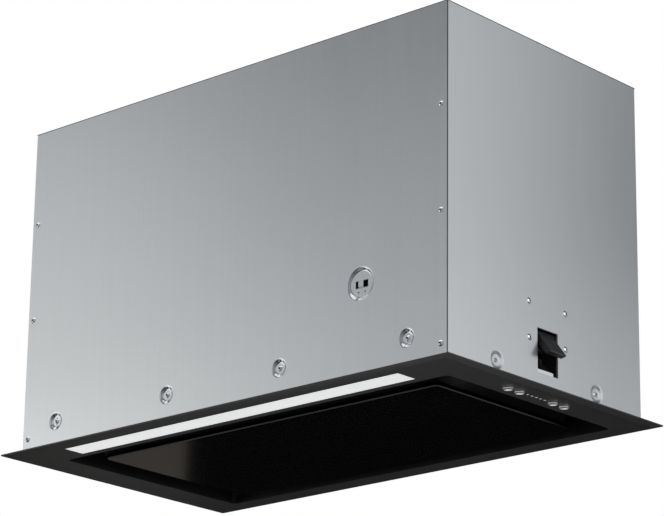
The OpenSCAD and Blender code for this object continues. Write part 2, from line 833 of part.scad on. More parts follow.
// Goose-necked arms that hang from the shelf behind the filter and carry the hinge pins
module hinge_arms() {
  neck_low = hinge_neck_z - hinge_stem / 2;
  neck_top = hinge_neck_z + hinge_stem / 2 + 0.5;
  stem_y0 = pivot_y - hinge_stem / 2;
  stem_y1 = pivot_y + hinge_stem / 2;
  bend = 2;
  foot_y0 = filter_back + hinge_foot_gap;
  foot_y1 = shelf_y - sheet_t - 1;
  color("dimgray") for (sx = [-1, 1])
    translate([sx * hinge_x, 0, 0]) difference() {
      union() {
        rotate([90, 0, 90]) translate([0, 0, -hinge_arm_t / 2]) linear_extrude(hinge_arm_t) {
          translate([pivot_y, pivot_z]) circle(r = hinge_stem / 2);
          polygon([[stem_y0, pivot_z], [stem_y1, pivot_z], [stem_y1, neck_low - bend], [stem_y1 + bend, neck_low],
                   [foot_y1, neck_low], [foot_y1, shelf_z], [foot_y0, shelf_z],
                   [foot_y0, neck_top], [stem_y0 + 1.5 * bend, neck_top], [stem_y0, neck_top - 1.5 * bend]]);
        }
        block([-hinge_foot_w / 2, foot_y0, shelf_z - hinge_foot_t], [hinge_foot_w / 2, foot_y1, shelf_z]);
      }
      translate([0, pivot_y, pivot_z]) rotate([0, 90, 0])
        cylinder(h = 2 * hinge_arm_t, r = hinge_pin_r + run, center = true);
    }
}

module hinge_pins() {
  length = 2 * (hinge_notch + free + hinge_cheek_t + 1);
  color("silver") for (sx = [-1, 1])
    translate([sx * hinge_x - length / 2, pivot_y, pivot_z]) rotate([0, 90, 0])
      cylinder(h = length, r = hinge_pin_r);
}

// Spring catches that grip the tongues of the panel's tray
module panel_catches() {
  jaw_z = tray_top + catch_gap;
  jaw_top = filter_z - catch_gap;
  jaw_y = tongue_y + tongue_l + 2;
  back_y = filter_front - catch_back_gap;
  slot_top = tray_top + tongue_h + 4 * free;
  color([0.2, 0.2, 0.22]) for (sx = [-1, 1])
    translate([sx * catch_x, 0, 0]) difference() {
      union() {
        block([-catch_w / 2, back_y - catch_back_t - 8, jaw_z], [catch_w / 2, back_y, shelf_z]);
        block([-catch_w / 2, back_y - catch_back_t, jaw_z], [catch_w / 2, jaw_y, jaw_top]);
      }
      block([-catch_grip, tongue_y - 3, jaw_z - cut], [catch_grip, jaw_y + cut, slot_top]);
      block([-catch_mouth_w / 2, tongue_y + 1, jaw_z - cut],
            [catch_mouth_w / 2, tongue_y + tongue_l - 1, jaw_z + catch_mouth_h]);
      for (s = [-1, 1])
        translate([s * catch_screw_x, back_y - catch_back_t - 2, jaw_z - cut])
          cylinder(h = catch_screw_deep, r = catch_screw_r);
    }
}

// Rim of the grease filter, a folded channel round the mesh with a flat pocket for the latch
module filter_frame() {
  color("lightgray") difference() {
    translate([0, open_y, filter_z]) union() {
      linear_extrude(filter_t) difference() {
        round_rect(filter_w, filter_d, filter_r);
        round_rect(filter_w - 2 * filter_rim, filter_d - 2 * filter_rim, mesh_r);
      }
      for (z = [0, filter_t - filter_sheet])
        translate([-pocket_w / 2 - 2, -filter_d / 2 + 2, z]) cube([pocket_w + 4, pocket_d + 2, filter_sheet]);
    }
    translate([0, open_y, mesh_z - free]) linear_extrude(mesh_t + 2 * free)
      round_rect(mesh_w + 2 * free, mesh_d + 2 * free, mesh_r);
    translate([-latch_w / 2 - 0.3, filter_front - cut, filter_z + filter_sheet])
      cube([latch_w + 0.6, filter_rim + 2, filter_t - 2 * filter_sheet]);
    translate([-pull_w / 2 - 0.5, filter_front + pull_y - 0.5, filter_z - cut])
      cube([pull_w + 1, pull_t + latch_travel + 1, filter_sheet + 2 * cut]);
    for (sx = [-1, 1])
      block([sx * hook_x - hook_w / 2 - 2, filter_back - 2.5, filter_z - cut],
            [sx * hook_x + hook_w / 2 + 2, filter_back + cut, filter_z + hook_t]);
  }
}

// Two crossed layers of strands in a folded edge, cut out round the latch
module filter_mesh() {
  count = ceil((mesh_w + mesh_d) / strand_pitch / 2);
  color("silver") difference() {
    translate([0, open_y, mesh_z]) {
      linear_extrude(mesh_t) difference() {
        round_rect(mesh_w, mesh_d, mesh_r);
        round_rect(mesh_w - 2 * mesh_edge, mesh_d - 2 * mesh_edge, 1);
      }
      for (layer = [0, 1])
        translate([0, 0, layer * mesh_t / 2]) linear_extrude(mesh_t / 2) intersection() {
          square([mesh_w - mesh_edge - 2, mesh_d - mesh_edge - 2], center = true);
          for (i = [-count:count])
            rotate(45 - 90 * layer) translate([i * strand_pitch, 0]) square([strand_w, mesh_w + mesh_d], center = true);
        }
    }
    translate([-pocket_w / 2, filter_front - cut, filter_z]) cube([pocket_w, pocket_d + cut, filter_t]);
  }
}

// Sliding latch with a finger pull and a bolt that rests on the tray's front hook
module filter_latch() {
  z0 = filter_z + filter_sheet + snug;
  y0 = filter_front + 2.5;
  y1 = y0 + latch_d;
  color([0.75, 0.76, 0.78]) difference() {
    union() {
      block([-latch_w / 2, y0, z0], [latch_w / 2, y1, z0 + latch_h]);
      block([-latch_bolt_w / 2, filter_front - latch_nose, z0], [latch_bolt_w / 2, y0, z0 + 3]);
      block([-pull_w / 2, filter_front + pull_y, filter_z - 3], [pull_w / 2, filter_front + pull_y + pull_t, z0]);
    }
    block([-14, y0 + 1.5, z0 + 1.2], [14, y0 + 6, z0 + latch_h + cut]);
    for (sx = [-1, 1])
      block([sx * 22 - 5, y0 + 3, z0 + 1.2], [sx * 22 + 5, y1 - 2, z0 + latch_h + cut]);
  }
}

// Aluminium channel over the light bar's window
module light_channel() {
  y0 = light_y - channel_in / 2 - channel_t;
  y1 = light_y + channel_in / 2 + channel_t;
  top = flange_t + light_h;
  color("silver") difference() {
    block([-channel_w / 2, y0, flange_t], [channel_w / 2, y1, top]);
    block([-channel_w / 2 - cut, y0 + channel_t, flange_t - cut], [channel_w / 2 + cut, y1 - channel_t, top - channel_roof]);
  }
}

module light_end_caps() {
  y0 = light_y - channel_in / 2 - channel_t;
  y1 = light_y + channel_in / 2 + channel_t;
  top = flange_t + light_h;
  color([0.85, 0.85, 0.86]) for (sx = [-1, 1])
    mirror([sx > 0 ? 0 : 1, 0, 0]) difference() {
      union() {
        block([channel_w / 2, y0, flange_t], [channel_w / 2 + cap_t, y1, top]);
        block([channel_w / 2 - cap_t, y0 + channel_t + snug, flange_t + 2.8],
              [channel_w / 2, y1 - channel_t - snug, top - 3.6]);
      }
      translate([channel_w / 2, light_y, lead_low_z]) rotate([0, 90, 0])
        cylinder(h = 3 * cap_t, r = lead_r + snug, center = true);
    }
}

// Strip of lamps under the roof of the channel
module led_board() {
  top = flange_t + light_h - channel_roof;
  length = light_w - 2 * led_end;
  color("ivory") union() {
    block([-length / 2, light_y - led_strip_w / 2, top - board_t], [length / 2, light_y + led_strip_w / 2, top]);
    for (i = [0:lamp_count - 1])
      translate([(i + 0.5) * length / lamp_count - length / 2, light_y, top - board_t - led_h / 2])
        cube([led_w, led_w, led_h], center = true);
  }
}

// Opal bar with a foot that rests on the flange
module light_diffuser() {
  color([0.95, 0.95, 0.93]) union() {
    block([-light_w / 2 + diffuser_gap, light_y0 + diffuser_gap, snug],
          [light_w / 2 - diffuser_gap, light_y0 + light_d - diffuser_gap, flange_t]);
    block([-light_w / 2 - diffuser_foot, light_y - channel_in / 2 + snug, flange_t],
          [light_w / 2 + diffuser_foot, light_y + channel_in / 2 - snug, flange_t + diffuser_foot_t]);
  }
}

// Housing that guides the buttons over the flange's right-hand rail
module control_housing() {
  z0 = flange_t;
  color([0.15, 0.15, 0.16]) difference() {
    block([control_x0, -control_l / 2, z0], [control_x1, control_l / 2, z0 + control_h]);
    block([control_x0 + control_wall, -control_l / 2 + control_wall, z0 - cut],
          [control_x1 - control_wall, control_l / 2 - control_wall, guide_z]);
    block([control_x0 + control_wall, -control_l / 2 + control_wall, guide_z + guide_t],
          [control_x1 - control_wall, control_l / 2 - control_wall, z0 + control_h - control_wall]);
    for (y = button_ys)
      translate([button_x, y, guide_z - cut]) cylinder(h = guide_t + 2 * cut, r = stem_r + run);
    for (i = [-2:2])
      translate([button_x, i * indicator_step, guide_z - cut])
        cylinder(h = guide_t + 2 * cut, r = indicator_r + 0.35);
    for (sy = [-1, 1])
      translate([lead_x, sy * (control_l / 2 - control_wall / 2), lead_low_z]) rotate([90, 0, 0])
        cylinder(h = control_wall + 2 * cut, r = lead_r + snug, center = true);
  }
}

// Circuit board with one switch over each button
module button_board() {
  z = board_z;
  ledge = control_wall + snug;
  color("darkgreen") union() {
    block([control_x0 + ledge, -control_l / 2 + 8, z], [control_x1 - ledge, control_l / 2 - 8, z + board_t]);
    for (y = button_ys)
      translate([button_x - 2.5, y - 2.5, z - switch_h]) cube([5, 5, switch_h]);
    for (i = [-2:2])
      translate([button_x - 0.8, i * indicator_step - 0.8, z - 1.2]) cube([1.6, 1.6, 1.2]);
    for (y = [-12, 0, 12])
      block([control_x0 + ledge, y - 1, guide_z + guide_t], [control_x0 + ledge + 1.6, y + 1, z]);
  }
}

module indicator_lenses() {
  color("white") for (i = [-2:2])
    translate([button_x, i * indicator_step, 0]) {
      cylinder(h = board_z - 1.2, r = indicator_r);
      translate([0, 0, guide_z + guide_t]) cylinder(h = 0.8, r = indicator_r + 0.7);
    }
}

// Push button: domed cap with a hollow face, retaining collar and stem
module push_button(y) {
  collar_z = flange_t + 0.05;
  hollow_r = 14;
  color("silver") translate([button_x, y, 0]) difference() {
    union() {
      translate([0, 0, -button_out]) cylinder(h = 0.5, r1 = button_r - 0.5, r2 = button_r);
      translate([0, 0, 0.5 - button_out]) cylinder(h = collar_z + button_out - 0.5, r = button_r);
      translate([0, 0, collar_z]) cylinder(h = 1.2, r = button_r + 1);
      translate([0, 0, collar_z]) cylinder(h = board_z - switch_h - button_travel - snug - collar_z, r = stem_r);
    }
    translate([0, 0, -button_out - hollow_r + 0.6]) sphere(r = hollow_r);
  }
}

module light_button() push_button(button_ys[0]);
module slower_button() push_button(button_ys[1]);
module faster_button() push_button(button_ys[2]);
module power_button() push_button(button_ys[3]);

// Bracket behind the clamp's window, with two cheeks that carry the pin
module clamp_bracket() {
  frame_z0 = window_z - 3;
  x1 = in_x;
  x0 = in_x - bracket_t;
  root_x = in_x - bracket_t / 2;
  difference() {
    union() {
      block([x0, -clamp_rivet_y - 6, frame_z0], [x1, clamp_rivet_y + 6, clamp_rivet_high + 6]);
      for (sy = [-1, 1])
        mirror([0, sy > 0 ? 0 : 1, 0]) rotate([90, 0, 0]) translate([0, 0, -cheek_y - bracket_t])
          linear_extrude(bracket_t)
            polygon([[root_x, window_z + 6], [root_x, window_top + 6], [x0 - cheek_deep + 5, window_top + 6],
                     [x0 - cheek_deep, window_top], [x0 - cheek_deep, window_z + 16], [x0 - 4, window_z + 6]]);
      block([x0 - cheek_deep, -cheek_y - bracket_t, window_top - 14],
            [x0 - cheek_deep + bracket_t, cheek_y + bracket_t, window_top]);
    }
    translate([x0 - cut, -window_w / 2, window_z + bracket_lip])
      cube([bracket_t + 2 * cut, window_w, window_h - bracket_lip]);
    translate([x0 - cut, window_w / 2 - bracket_notch, window_z - cut])
      cube([bracket_t + 2 * cut, bracket_notch, bracket_lip + 2 * cut]);
    translate([clamp_pivot_x, 0, clamp_pivot_z]) rotate([90, 0, 0])
      cylinder(h = 2 * cheek_y + 6, r = clamp_pin_r, center = true);
    for (sy = [-1, 1], z = [clamp_rivet_low, clamp_rivet_high])
      on_right(sy * clamp_rivet_y, z) rivet_hole();
  }
}

// Lever that springs out over the cupboard's bottom board, drawn upright and then tilted
module clamp_lever() {
  translate([clamp_pivot_x, 0, clamp_pivot_z]) rotate([0, -lever_tilt, 0]) difference() {
    union() {
      rotate([90, 0, 0]) translate([0, 0, -lever_w / 2]) linear_extrude(lever_w)
        polygon([[-lever_back, 0], [-lever_back, 2], [lever_back, 2.6], [lever_back, -lever_l + 0.8],
                 [lever_back - 0.8, -lever_l], [-lever_back, -lever_l + 2.4]]);
      rotate([90, 0, 0]) cylinder(h = 2 * cheek_y - 0.4, r = hub_r, center = true);
    }
    rotate([90, 0, 0]) cylinder(h = window_w + 4, r = clamp_pin_r + run, center = true);
    block([-lever_back - cut, -lever_w / 2 + 1.6, -lever_l + 5], [lever_back - 1.6, lever_w / 2 - 1.6, -hub_r - 2]);
  }
}

module clamp_pin() {
  length = 2 * (cheek_y + bracket_t) + 2;
  translate([clamp_pivot_x, 0, clamp_pivot_z]) rotate([90, 0, 0]) cylinder(h = length, r = clamp_pin_r, center = true);
}

// Leaf spring on the bracket's back plate that pushes the lever outwards
module clamp_spring() {
  x0 = in_x - cheek_deep;
  foot_z = window_top - 10;
  rotate([90, 0, 0]) linear_extrude(spring_w, center = true)
    polygon([[x0, window_top - 2], [x0, foot_z], [x0 + 5.2, foot_z - 5], [x0 + 5.5, foot_z - 4.6],
             [x0 + spring_t, foot_z + 0.2], [x0 + spring_t, window_top - 2]]);
}

module right_clamp_bracket() {
  color("lightgray") clamp_bracket();
}
module left_clamp_bracket() {
  color("lightgray") mirror([1, 0, 0]) clamp_bracket();
}
module right_clamp_lever() {
  color([0.12, 0.12, 0.13]) clamp_lever();
}
module left_clamp_lever() {
  color([0.12, 0.12, 0.13]) mirror([1, 0, 0]) clamp_lever();
}
module clamp_pins() {
  color("silver") for (sx = [0, 1])
    mirror([sx, 0, 0]) clamp_pin();
}
module right_clamp_spring() {
  color("gray") clamp_spring();
}
module left_clamp_spring() {
  color("gray") mirror([1, 0, 0]) clamp_spring();
}

// Spigot for the duct, with a ledge that the closed flaps rest on
module duct_collar() {
  color([0.2, 0.2, 0.21]) translate([0, collar_y, 0]) difference() {
    union() {
      translate([0, 0, casing_h]) cylinder(h = foot_t, r = foot_r, $fn = 96);
      translate([0, 0, casing_h]) cylinder(h = collar_h, r = collar_r, $fn = 96);
    }
    translate([0, 0, casing_h - cut]) cylinder(h = collar_h + 2 * cut, r = collar_in - flap_ledge, $fn = 96);
    translate([0, 0, flap_z - free]) cylinder(h = collar_h, r = collar_in, $fn = 96);
    translate([0, 0, damper_z]) rotate([0, 90, 0]) cylinder(h = 2 * collar_r + 4, r = damper_pin_r, center = true);
    for (a = [45:90:315])
      rotate([0, 0, a]) translate([collar_screw_r, 0, casing_h - cut])
        cylinder(h = foot_t + 2 * cut, r = collar_hole_r);
  }
}

module damper_pin() {
  color("silver") translate([0, collar_y, damper_z]) rotate([0, 90, 0])
    cylinder(h = 2 * collar_r - 0.6, r = damper_pin_r, center = true);
}

// Half-round flap with two knuckles on the pin; the other flap's knuckles sit between them
module damper_flap(inner) {
  own = inner ? inner_knuckle : outer_knuckle;
  other = inner ? outer_knuckle : inner_knuckle;
  between = 2 * inner_knuckle - knuckle_l;
  room = knuckle_r + 0.5;
  difference() {
    union() {
      intersection() {
        translate([0, 0, flap_z]) cylinder(h = flap_t, r = flap_r, $fn = 96);
        block([-collar_r, -collar_r, flap_z - cut], [collar_r, -2 * free, flap_z + flap_t + cut]);
      }
      for (sx = [-1, 1]) {
        translate([sx * own - knuckle_l / 2, 0, damper_z]) rotate([0, 90, 0]) cylinder(h = knuckle_l, r = knuckle_r);
        block([sx * own - knuckle_l / 2, -knuckle_r - 1, flap_z], [sx * own + knuckle_l / 2, -2 * free, damper_z]);
      }
    }
    translate([-collar_r, 0, damper_z]) rotate([0, 90, 0]) cylinder(h = 2 * collar_r, r = damper_pin_r + run);
    for (sx = [-1, 1])
      translate([sx * other, 0, damper_z]) rotate([0, 90, 0]) cylinder(h = knuckle_l + 1.2, r = room, center = true);
    translate([0, 0, damper_z]) rotate([0, 90, 0])
      cylinder(h = between - 0.6, r = damper_pin_r + 0.5, center = true);
  }
}

module front_damper_flap() {
  color([0.25, 0.25, 0.26]) translate([0, collar_y, 0]) damper_flap(true);
}
module back_damper_flap() {
  color([0.25, 0.25, 0.26]) translate([0, collar_y, 0]) mirror([0, 1, 0]) damper_flap(false);
}

module collar_screws() {
  grip = foot_t + sheet_t + adapter_flange_t + 2;
  color("silver") for (a = [45:90:315])
    translate([collar_screw_r * cos(a), collar_y + collar_screw_r * sin(a), casing_h + foot_t]) {
      translate([0, 0, -grip]) cylinder(h = grip, r = 1.9);
      cylinder(h = 1, r = 3.8);
      translate([0, 0, 1]) cylinder(h = 1.2, r1 = 3.8, r2 = 2.2);
    }
}

// Duct between the blower's rectangular neck and the round outlet
module outlet_adapter() {
  half = housing_half + housing_t;
  z0 = neck_top;
  slope_z = top_under - adapter_flange_t;
  flange_r = collar_screw_r + 5;
  color([0.3, 0.3, 0.31]) difference() {
    union() {
      neck_plate(z0, 2 * half);
      hull() {
        translate([-half, neck_y - neck_d / 2 - housing_t, z0]) cube([2 * half, neck_d + 2 * housing_t, 3]);
        translate([0, collar_y, slope_z]) cylinder(h = 1, r = collar_in, $fn = 32);
      }
      intersection() {
        translate([0, collar_y, slope_z]) cylinder(h = adapter_flange_t, r = flange_r, $fn = 96);
        block([-flange_r, -flange_r, slope_z], [flange_r, in_y - fold_w, top_under]);
      }
    }
    hull() {
      translate([-half + housing_t, neck_y - neck_d / 2, z0 - cut]) cube([2 * (half - housing_t), neck_d, 3]);
      translate([0, collar_y, slope_z - 1]) cylinder(h = 1, r = collar_in - 4, $fn = 32);
    }
    translate([0, collar_y, slope_z - 0.5]) cylinder(h = 6, r = collar_in - 3.4, $fn = 96);
    at_neck_screws() translate([0, 0, z0 - cut]) cylinder(h = 6, r = screw_r + snug);
    for (a = [45:90:315])
      translate([collar_screw_r * cos(a), collar_y + collar_screw_r * sin(a), slope_z - 8])
        cylinder(h = 12, r = 2);
  }
}

// Plate round the neck, shared by the adapter and the two halves of the housing
module neck_plate(z, width) {
  translate([-width / 2 - neck_lip, neck_y - neck_d / 2 - housing_t - neck_lip, z])
    cube([width + 2 * neck_lip, neck_d + 2 * (housing_t + neck_lip), neck_plate_t]);
}

module at_neck_screws() {
  for (x = [-50, -17, 17, 50], sy = [-1, 1])
    translate([x, neck_y + sy * (neck_d / 2 + housing_t + neck_lip / 2), 0]) children();
}

// Lugs round the scroll that screw the two halves together
module at_lugs() {
  for (a = lug_angles)
    rotate([0, 0, a]) translate([scroll_r(a) + housing_t + 3.4, 0, 0]) children();
}

// Screws of the blower: along the joint, round the neck, and on the motor's bracket
module blower_screws() {
  color("silver") {
    in_fan_plane(3) at_lugs() screw(5.5);
    at_neck_screws() translate([0, 0, neck_top - neck_plate_t]) mirror([0, 0, 1]) screw(2 * neck_plate_t - 0.2);
    for (a = bracket_angles) {
      in_fan_plane(housing_half + housing_t + bracket_arm_t) rotate([0, 0, a]) translate([motor_screw_r, 0, 0]) screw(7);
      in_fan_plane(housing_half + housing_t + bracket_arm_t) rotate([0, 0, a]) translate([bracket_screw_r, 0, 0]) screw(4.6);
    }
  }
}

// Pan-head screw with its head above z = 0 and its shank below
module screw(length) {
  difference() {
    union() {
      translate([0, 0, -length]) cylinder(h = length, r = screw_r);
      cylinder(h = 0.9, r = 3.2);
      translate([0, 0, 0.9]) cylinder(h = 0.9, r1 = 3.2, r2 = 2.2);
    }
    for (a = [0, 90])
      rotate([0, 0, a]) translate([-1.6, -0.35, 0.7]) cube([3.2, 0.7, 2]);
  }
}

// Radius of the scroll at angle a, from the tongue round to the outlet
function scroll_r(a) = tongue_r + scroll_grow * (a - tongue_a) / (360 - tongue_a);

// Outline of the scroll and its neck, grown outwards by e
module scroll(e) {
  polygon([for (a = [tongue_a:7.5:360]) (scroll_r(a) + e) * [cos(a), sin(a)]]);
  translate([neck_in - e, 0]) square([neck_d + 2 * e, neck_top - fan_z]);
}

// Turns a flat outline in the fan's plane into the casing's Y and Z, with depth along X
module in_fan_plane(x) {
  translate([x, -fan_front, fan_z]) rotate([90, 0, 90]) children();
}

// Right-hand half of the blower's housing: scroll wall, side wall with a bell mouth, lugs and neck plate
module housing_shell() {
  difference() {
    union() {
      in_fan_plane(0) linear_extrude(housing_half) difference() {
        scroll(housing_t);
        scroll(0);
      }
      in_fan_plane(0) linear_extrude(3) difference() {
        scroll(joint_w);
        scroll(0);
      }
      in_fan_plane(0) at_lugs() cylinder(h = 3, r = 5);
      in_fan_plane(housing_half) linear_extrude(housing_t) difference() {
        scroll(housing_t);
        circle(r = eye_r + bell_r, $fn = 96);
      }
      in_fan_plane(housing_half - bell_r + housing_t) rotate_extrude($fn = 96)
        translate([eye_r + bell_r, 0]) intersection() {
          difference() {
            circle(r = bell_r);
            circle(r = bell_r - housing_t);
          }
          translate([-bell_r - 1, 0]) square([bell_r + 1, bell_r + 1]);
        }
      neck_plate(neck_top - neck_plate_t, 2 * (housing_half + housing_t));
    }
    in_fan_plane(-cut) linear_extrude(housing_half + cut) scroll(0);
    in_fan_plane(-cut) at_lugs() cylinder(h = 5, r = screw_r + snug / 2);
    at_neck_screws() translate([0, 0, neck_top - 5]) cylinder(h = 6, r = screw_r + snug);
    for (a = bracket_angles)
      in_fan_plane(housing_half - cut) rotate([0, 0, a]) translate([bracket_screw_r, 0, 0]) cylinder(h = 5, r = screw_r);
    block([-casing_w, -casing_d, neck_top], [casing_w, casing_d, casing_h]);
    block([-casing_w, -casing_d, 0], [0, casing_d, casing_h]);
  }
}

module blower_housing_right() {
  color([0.35, 0.36, 0.38]) housing_shell();
}
module blower_housing_left() {
  color([0.35, 0.36, 0.38]) mirror([1, 0, 0]) housing_shell();
}

// Outline of one forward-curved blade between its root and its tip
function blade_side(shift) = [for (i = [0:4])
  let (r = wheel_r - blade_deep + blade_deep * i / 4, a = 26 * pow(i / 4, 1.6) / 2 + shift * 180 / (PI * r))
  [r * cos(a), r * sin(a)]];
module blade() {
  lower = blade_side(-blade_t / 2);
  upper = blade_side(blade_t / 2);
  polygon(concat(lower, [for (i = [4:-1:0]) upper[i]]));
}

// Double-sided wheel: centre disc with its hub, two rings and two rows of blades
module impeller() {
  ring_t = 3;
  rim_r = wheel_r + 0.6;
  color([0.22, 0.22, 0.24]) difference() {
    union() {
      in_fan_plane(-1.2) cylinder(h = 2.4, r = rim_r, $fn = 96);
      in_fan_plane(-10) cylinder(h = 16, r = shaft_r + 7);
      in_fan_plane(0.5 - wheel_half) linear_extrude(2 * wheel_half - 1)
        for (i = [0:blade_count - 1]) rotate(i * 360 / blade_count) blade();
      for (x = [-wheel_half, wheel_half - ring_t])
        in_fan_plane(x) linear_extrude(ring_t) difference() {
          circle(r = rim_r, $fn = 96);
          circle(r = wheel_r - 4, $fn = 96);
        }
    }
    in_fan_plane(-wheel_half - cut) cylinder(h = 2 * wheel_half, r = shaft_r);
  }
}

module motor_shaft() {
  color("silver") in_fan_plane(-12) cylinder(h = motor_x1 - 4 + 12, r = shaft_r);
}

// Motor can with its end bells and bearing seats
module motor() {
  color("dimgray") difference() {
    union() {
      in_fan_plane(motor_x0 + 6) cylinder(h = motor_x1 - motor_x0 - 10, r = motor_r, $fn = 72);
      in_fan_plane(motor_x0 + 2) cylinder(h = 4, r1 = motor_r - 8, r2 = motor_r, $fn = 72);
      in_fan_plane(motor_x0) cylinder(h = 2, r = shaft_r + 7);
      in_fan_plane(motor_x1 - 4) cylinder(h = 4, r1 = motor_r, r2 = motor_r - 4, $fn = 72);
    }
    in_fan_plane(motor_x0 - cut) cylinder(h = motor_x1 - motor_x0 - 3 + cut, r = shaft_r + run);
    for (a = [0:30:330])
      in_fan_plane(motor_x1 - 12) rotate([0, 0, a]) translate([motor_r - 1.2, -3, 0]) cube([4, 6, 5]);
    for (a = bracket_angles)
      in_fan_plane(motor_x1 - 6) rotate([0, 0, a]) translate([motor_screw_r, 0, 0]) cylinder(h = 6 + cut, r = screw_r);
  }
}

// Three-armed bracket that carries the motor across the right-hand inlet
module motor_bracket() {
  ring_in = eye_r + bell_r + 1;
  ring_out = ring_in + 8;
  color("lightgray") in_fan_plane(housing_half + housing_t) linear_extrude(bracket_arm_t) difference() {
    union() {
      difference() {
        circle(r = ring_out, $fn = 96);
        circle(r = ring_in, $fn = 96);
      }
      for (a = bracket_angles)
        rotate([0, 0, a]) translate([0, -bracket_arm_w / 2]) square([ring_in + 2, bracket_arm_w]);
      circle(r = motor_r - 6, $fn = 72);
    }
    circle(r = shaft_r + 6);
    for (a = bracket_angles, r = [motor_screw_r, bracket_screw_r])
      rotate([0, 0, a]) translate([r, 0]) circle(r = screw_r + snug);
  }
}

// Control box under the top panel, open below
module control_box() {
  color([0.85, 0.85, 0.83]) difference() {
    block([box_x - box_w / 2, box_y - box_d / 2, box_z], [box_x + box_w / 2, box_y + box_d / 2, top_under]);
    block([box_x - box_w / 2 + box_t, box_y - box_d / 2 + box_t, box_z - cut],
          [box_x + box_w / 2 - box_t, box_y + box_d / 2 - box_t, top_under - box_t]);
    translate([gland_x, gland_y, top_under - box_t - cut]) cylinder(h = box_t + 2 * cut, r = gland_r + snug);
    translate([box_x, box_y + box_d / 2, lead_z]) rotate([90, 0, 0])
      cylinder(h = 3 * box_t, r = lead_r + snug, center = true);
    translate([box_x + box_w / 2, box_y - motor_lead_y, lead_z]) rotate([0, 90, 0])
      cylinder(h = 3 * box_t, r = lead_r + snug, center = true);
  }
}

// Cover of the control box, with posts for the board
module control_box_cover() {
  color([0.8, 0.8, 0.78]) union() {
    block([box_x - box_w / 2, box_y - box_d / 2, box_z - box_t], [box_x + box_w / 2, box_y + box_d / 2, box_z]);
    for (sx = [-1, 1], sy = [-1, 1])
      translate([box_x + sx * (box_w / 2 - 10), box_y + sy * (box_d / 2 - 10), box_z]) cylinder(h = post_h, r = 3);
  }
}

// Power board with its transformer, relays and terminals
module power_board() {
  z = box_z + post_h;
  top = z + board_t;
  x0 = box_x - box_w / 2 + board_gap;
  x1 = box_x + box_w / 2 - board_gap;
  y0 = box_y - box_d / 2 + board_gap;
  y1 = box_y + box_d / 2 - board_gap;
  relay_pitch = (y1 - y0 - relay_start) / 3;
  color("darkgreen") union() {
    block([x0, y0, z], [x1, y1, top]);
    translate([x1 - transformer[0] - part_edge, y0 + part_edge, top]) cube(transformer);
    for (i = [0:2])
      translate([x1 - relay[0] - 2 * part_edge, y0 + relay_start + i * relay_pitch, top]) cube(relay);
    translate([x0 + part_edge, y0 + part_edge, top]) cube(terminals);
  }
}

module run_capacitor() {
  color("whitesmoke")
    translate([box_x - box_w / 2 + board_gap + capacitor_in, box_y - box_d / 2 + board_gap + 3 * part_edge,
               box_z + post_h + board_t + capacitor_r])
      rotate([-90, 0, 0]) {
        cylinder(h = capacitor_l, r = capacitor_r);
        translate([0, 0, -2]) cylinder(h = 2, r = capacitor_r - 2);
      }
}

// Cable gland with a hexagon, a domed cap and a bore for the mains lead
module cable_gland() {
  color([0.12, 0.12, 0.12]) translate([gland_x, gland_y, 0]) difference() {
    union() {
      translate([0, 0, top_under - box_t - 5]) cylinder(h = box_t + sheet_t + 5, r = gland_r);
      translate([0, 0, casing_h]) cylinder(h = 6, r = gland_hex, $fn = 6);
      translate([0, 0, casing_h + 6]) cylinder(h = 6, r = gland_r + 1);
      translate([0, 0, casing_h + 12]) cylinder(h = 4, r1 = gland_r + 1, r2 = gland_bore_r + 1.6);
    }
    translate([0, 0, top_under - 20]) cylinder(h = 60, r = gland_bore_r);
  }
}

module gland_nut() {
  color([0.12, 0.12, 0.12]) translate([gland_x, gland_y, top_under - box_t - 4]) difference() {
    cylinder(h = 4, r = gland_hex, $fn = 6);
    translate([0, 0, -cut]) cylinder(h = 4 + 2 * cut, r = gland_r + 0.05);
  }
}

// Quarter bend of a lead from +X into +Y, centred on the bend's own axis
module quarter_bend() {
  rotate_extrude(angle = 90) translate([lead_bend, 0]) circle(r = lead_r, $fn = 24);
}
module straight(length) {
  cylinder(h = length, r = lead_r, $fn = 24);
}

// Lead from the control box along the back and down to the button board
module control_lead() {
  y0 = box_y + box_d / 2 - 3 * box_t;
  y1 = lead_back - lead_bend;
  x1 = lead_x - lead_bend;
  z1 = lead_z - lead_bend;
  z2 = lead_low_z + lead_bend;
  color("gray") union() {
    translate([box_x, y0, lead_z]) rotate([-90, 0, 0]) straight(y1 - y0);
    translate([box_x + lead_bend, y1, lead_z]) rotate([0, 0, 90]) quarter_bend();
    translate([box_x + lead_bend, lead_back, lead_z]) rotate([0, 90, 0]) straight(x1 - box_x - lead_bend);
    translate([x1, lead_back, z1]) rotate([90, 0, 0]) quarter_bend();
    translate([lead_x, lead_back, z2]) straight(z1 - z2);
    translate([lead_x, lead_back - lead_bend, z2]) rotate([90, 0, 90]) rotate([0, 0, -90]) quarter_bend();
    translate([lead_x, control_l / 2 - control_wall - 1, lead_low_z]) rotate([-90, 0, 0])
      straight(lead_back - lead_bend - control_l / 2 + control_wall + 1);
  }
}

// Grommet in the shelf round the control lead
module lead_grommet() {
  color([0.1, 0.1, 0.1]) translate([lead_x, lead_back, shelf_z]) difference() {
    union() {
      translate([0, 0, -1.2]) cylinder(h = 1.2, r = grommet_r + 1.6);
      cylinder(h = sheet_t, r = grommet_r);
      translate([0, 0, sheet_t]) cylinder(h = 1.2, r = grommet_r + 1.6);
    }
    translate([0, 0, -3]) cylinder(h = 8, r = lead_r + 0.02);
  }
}

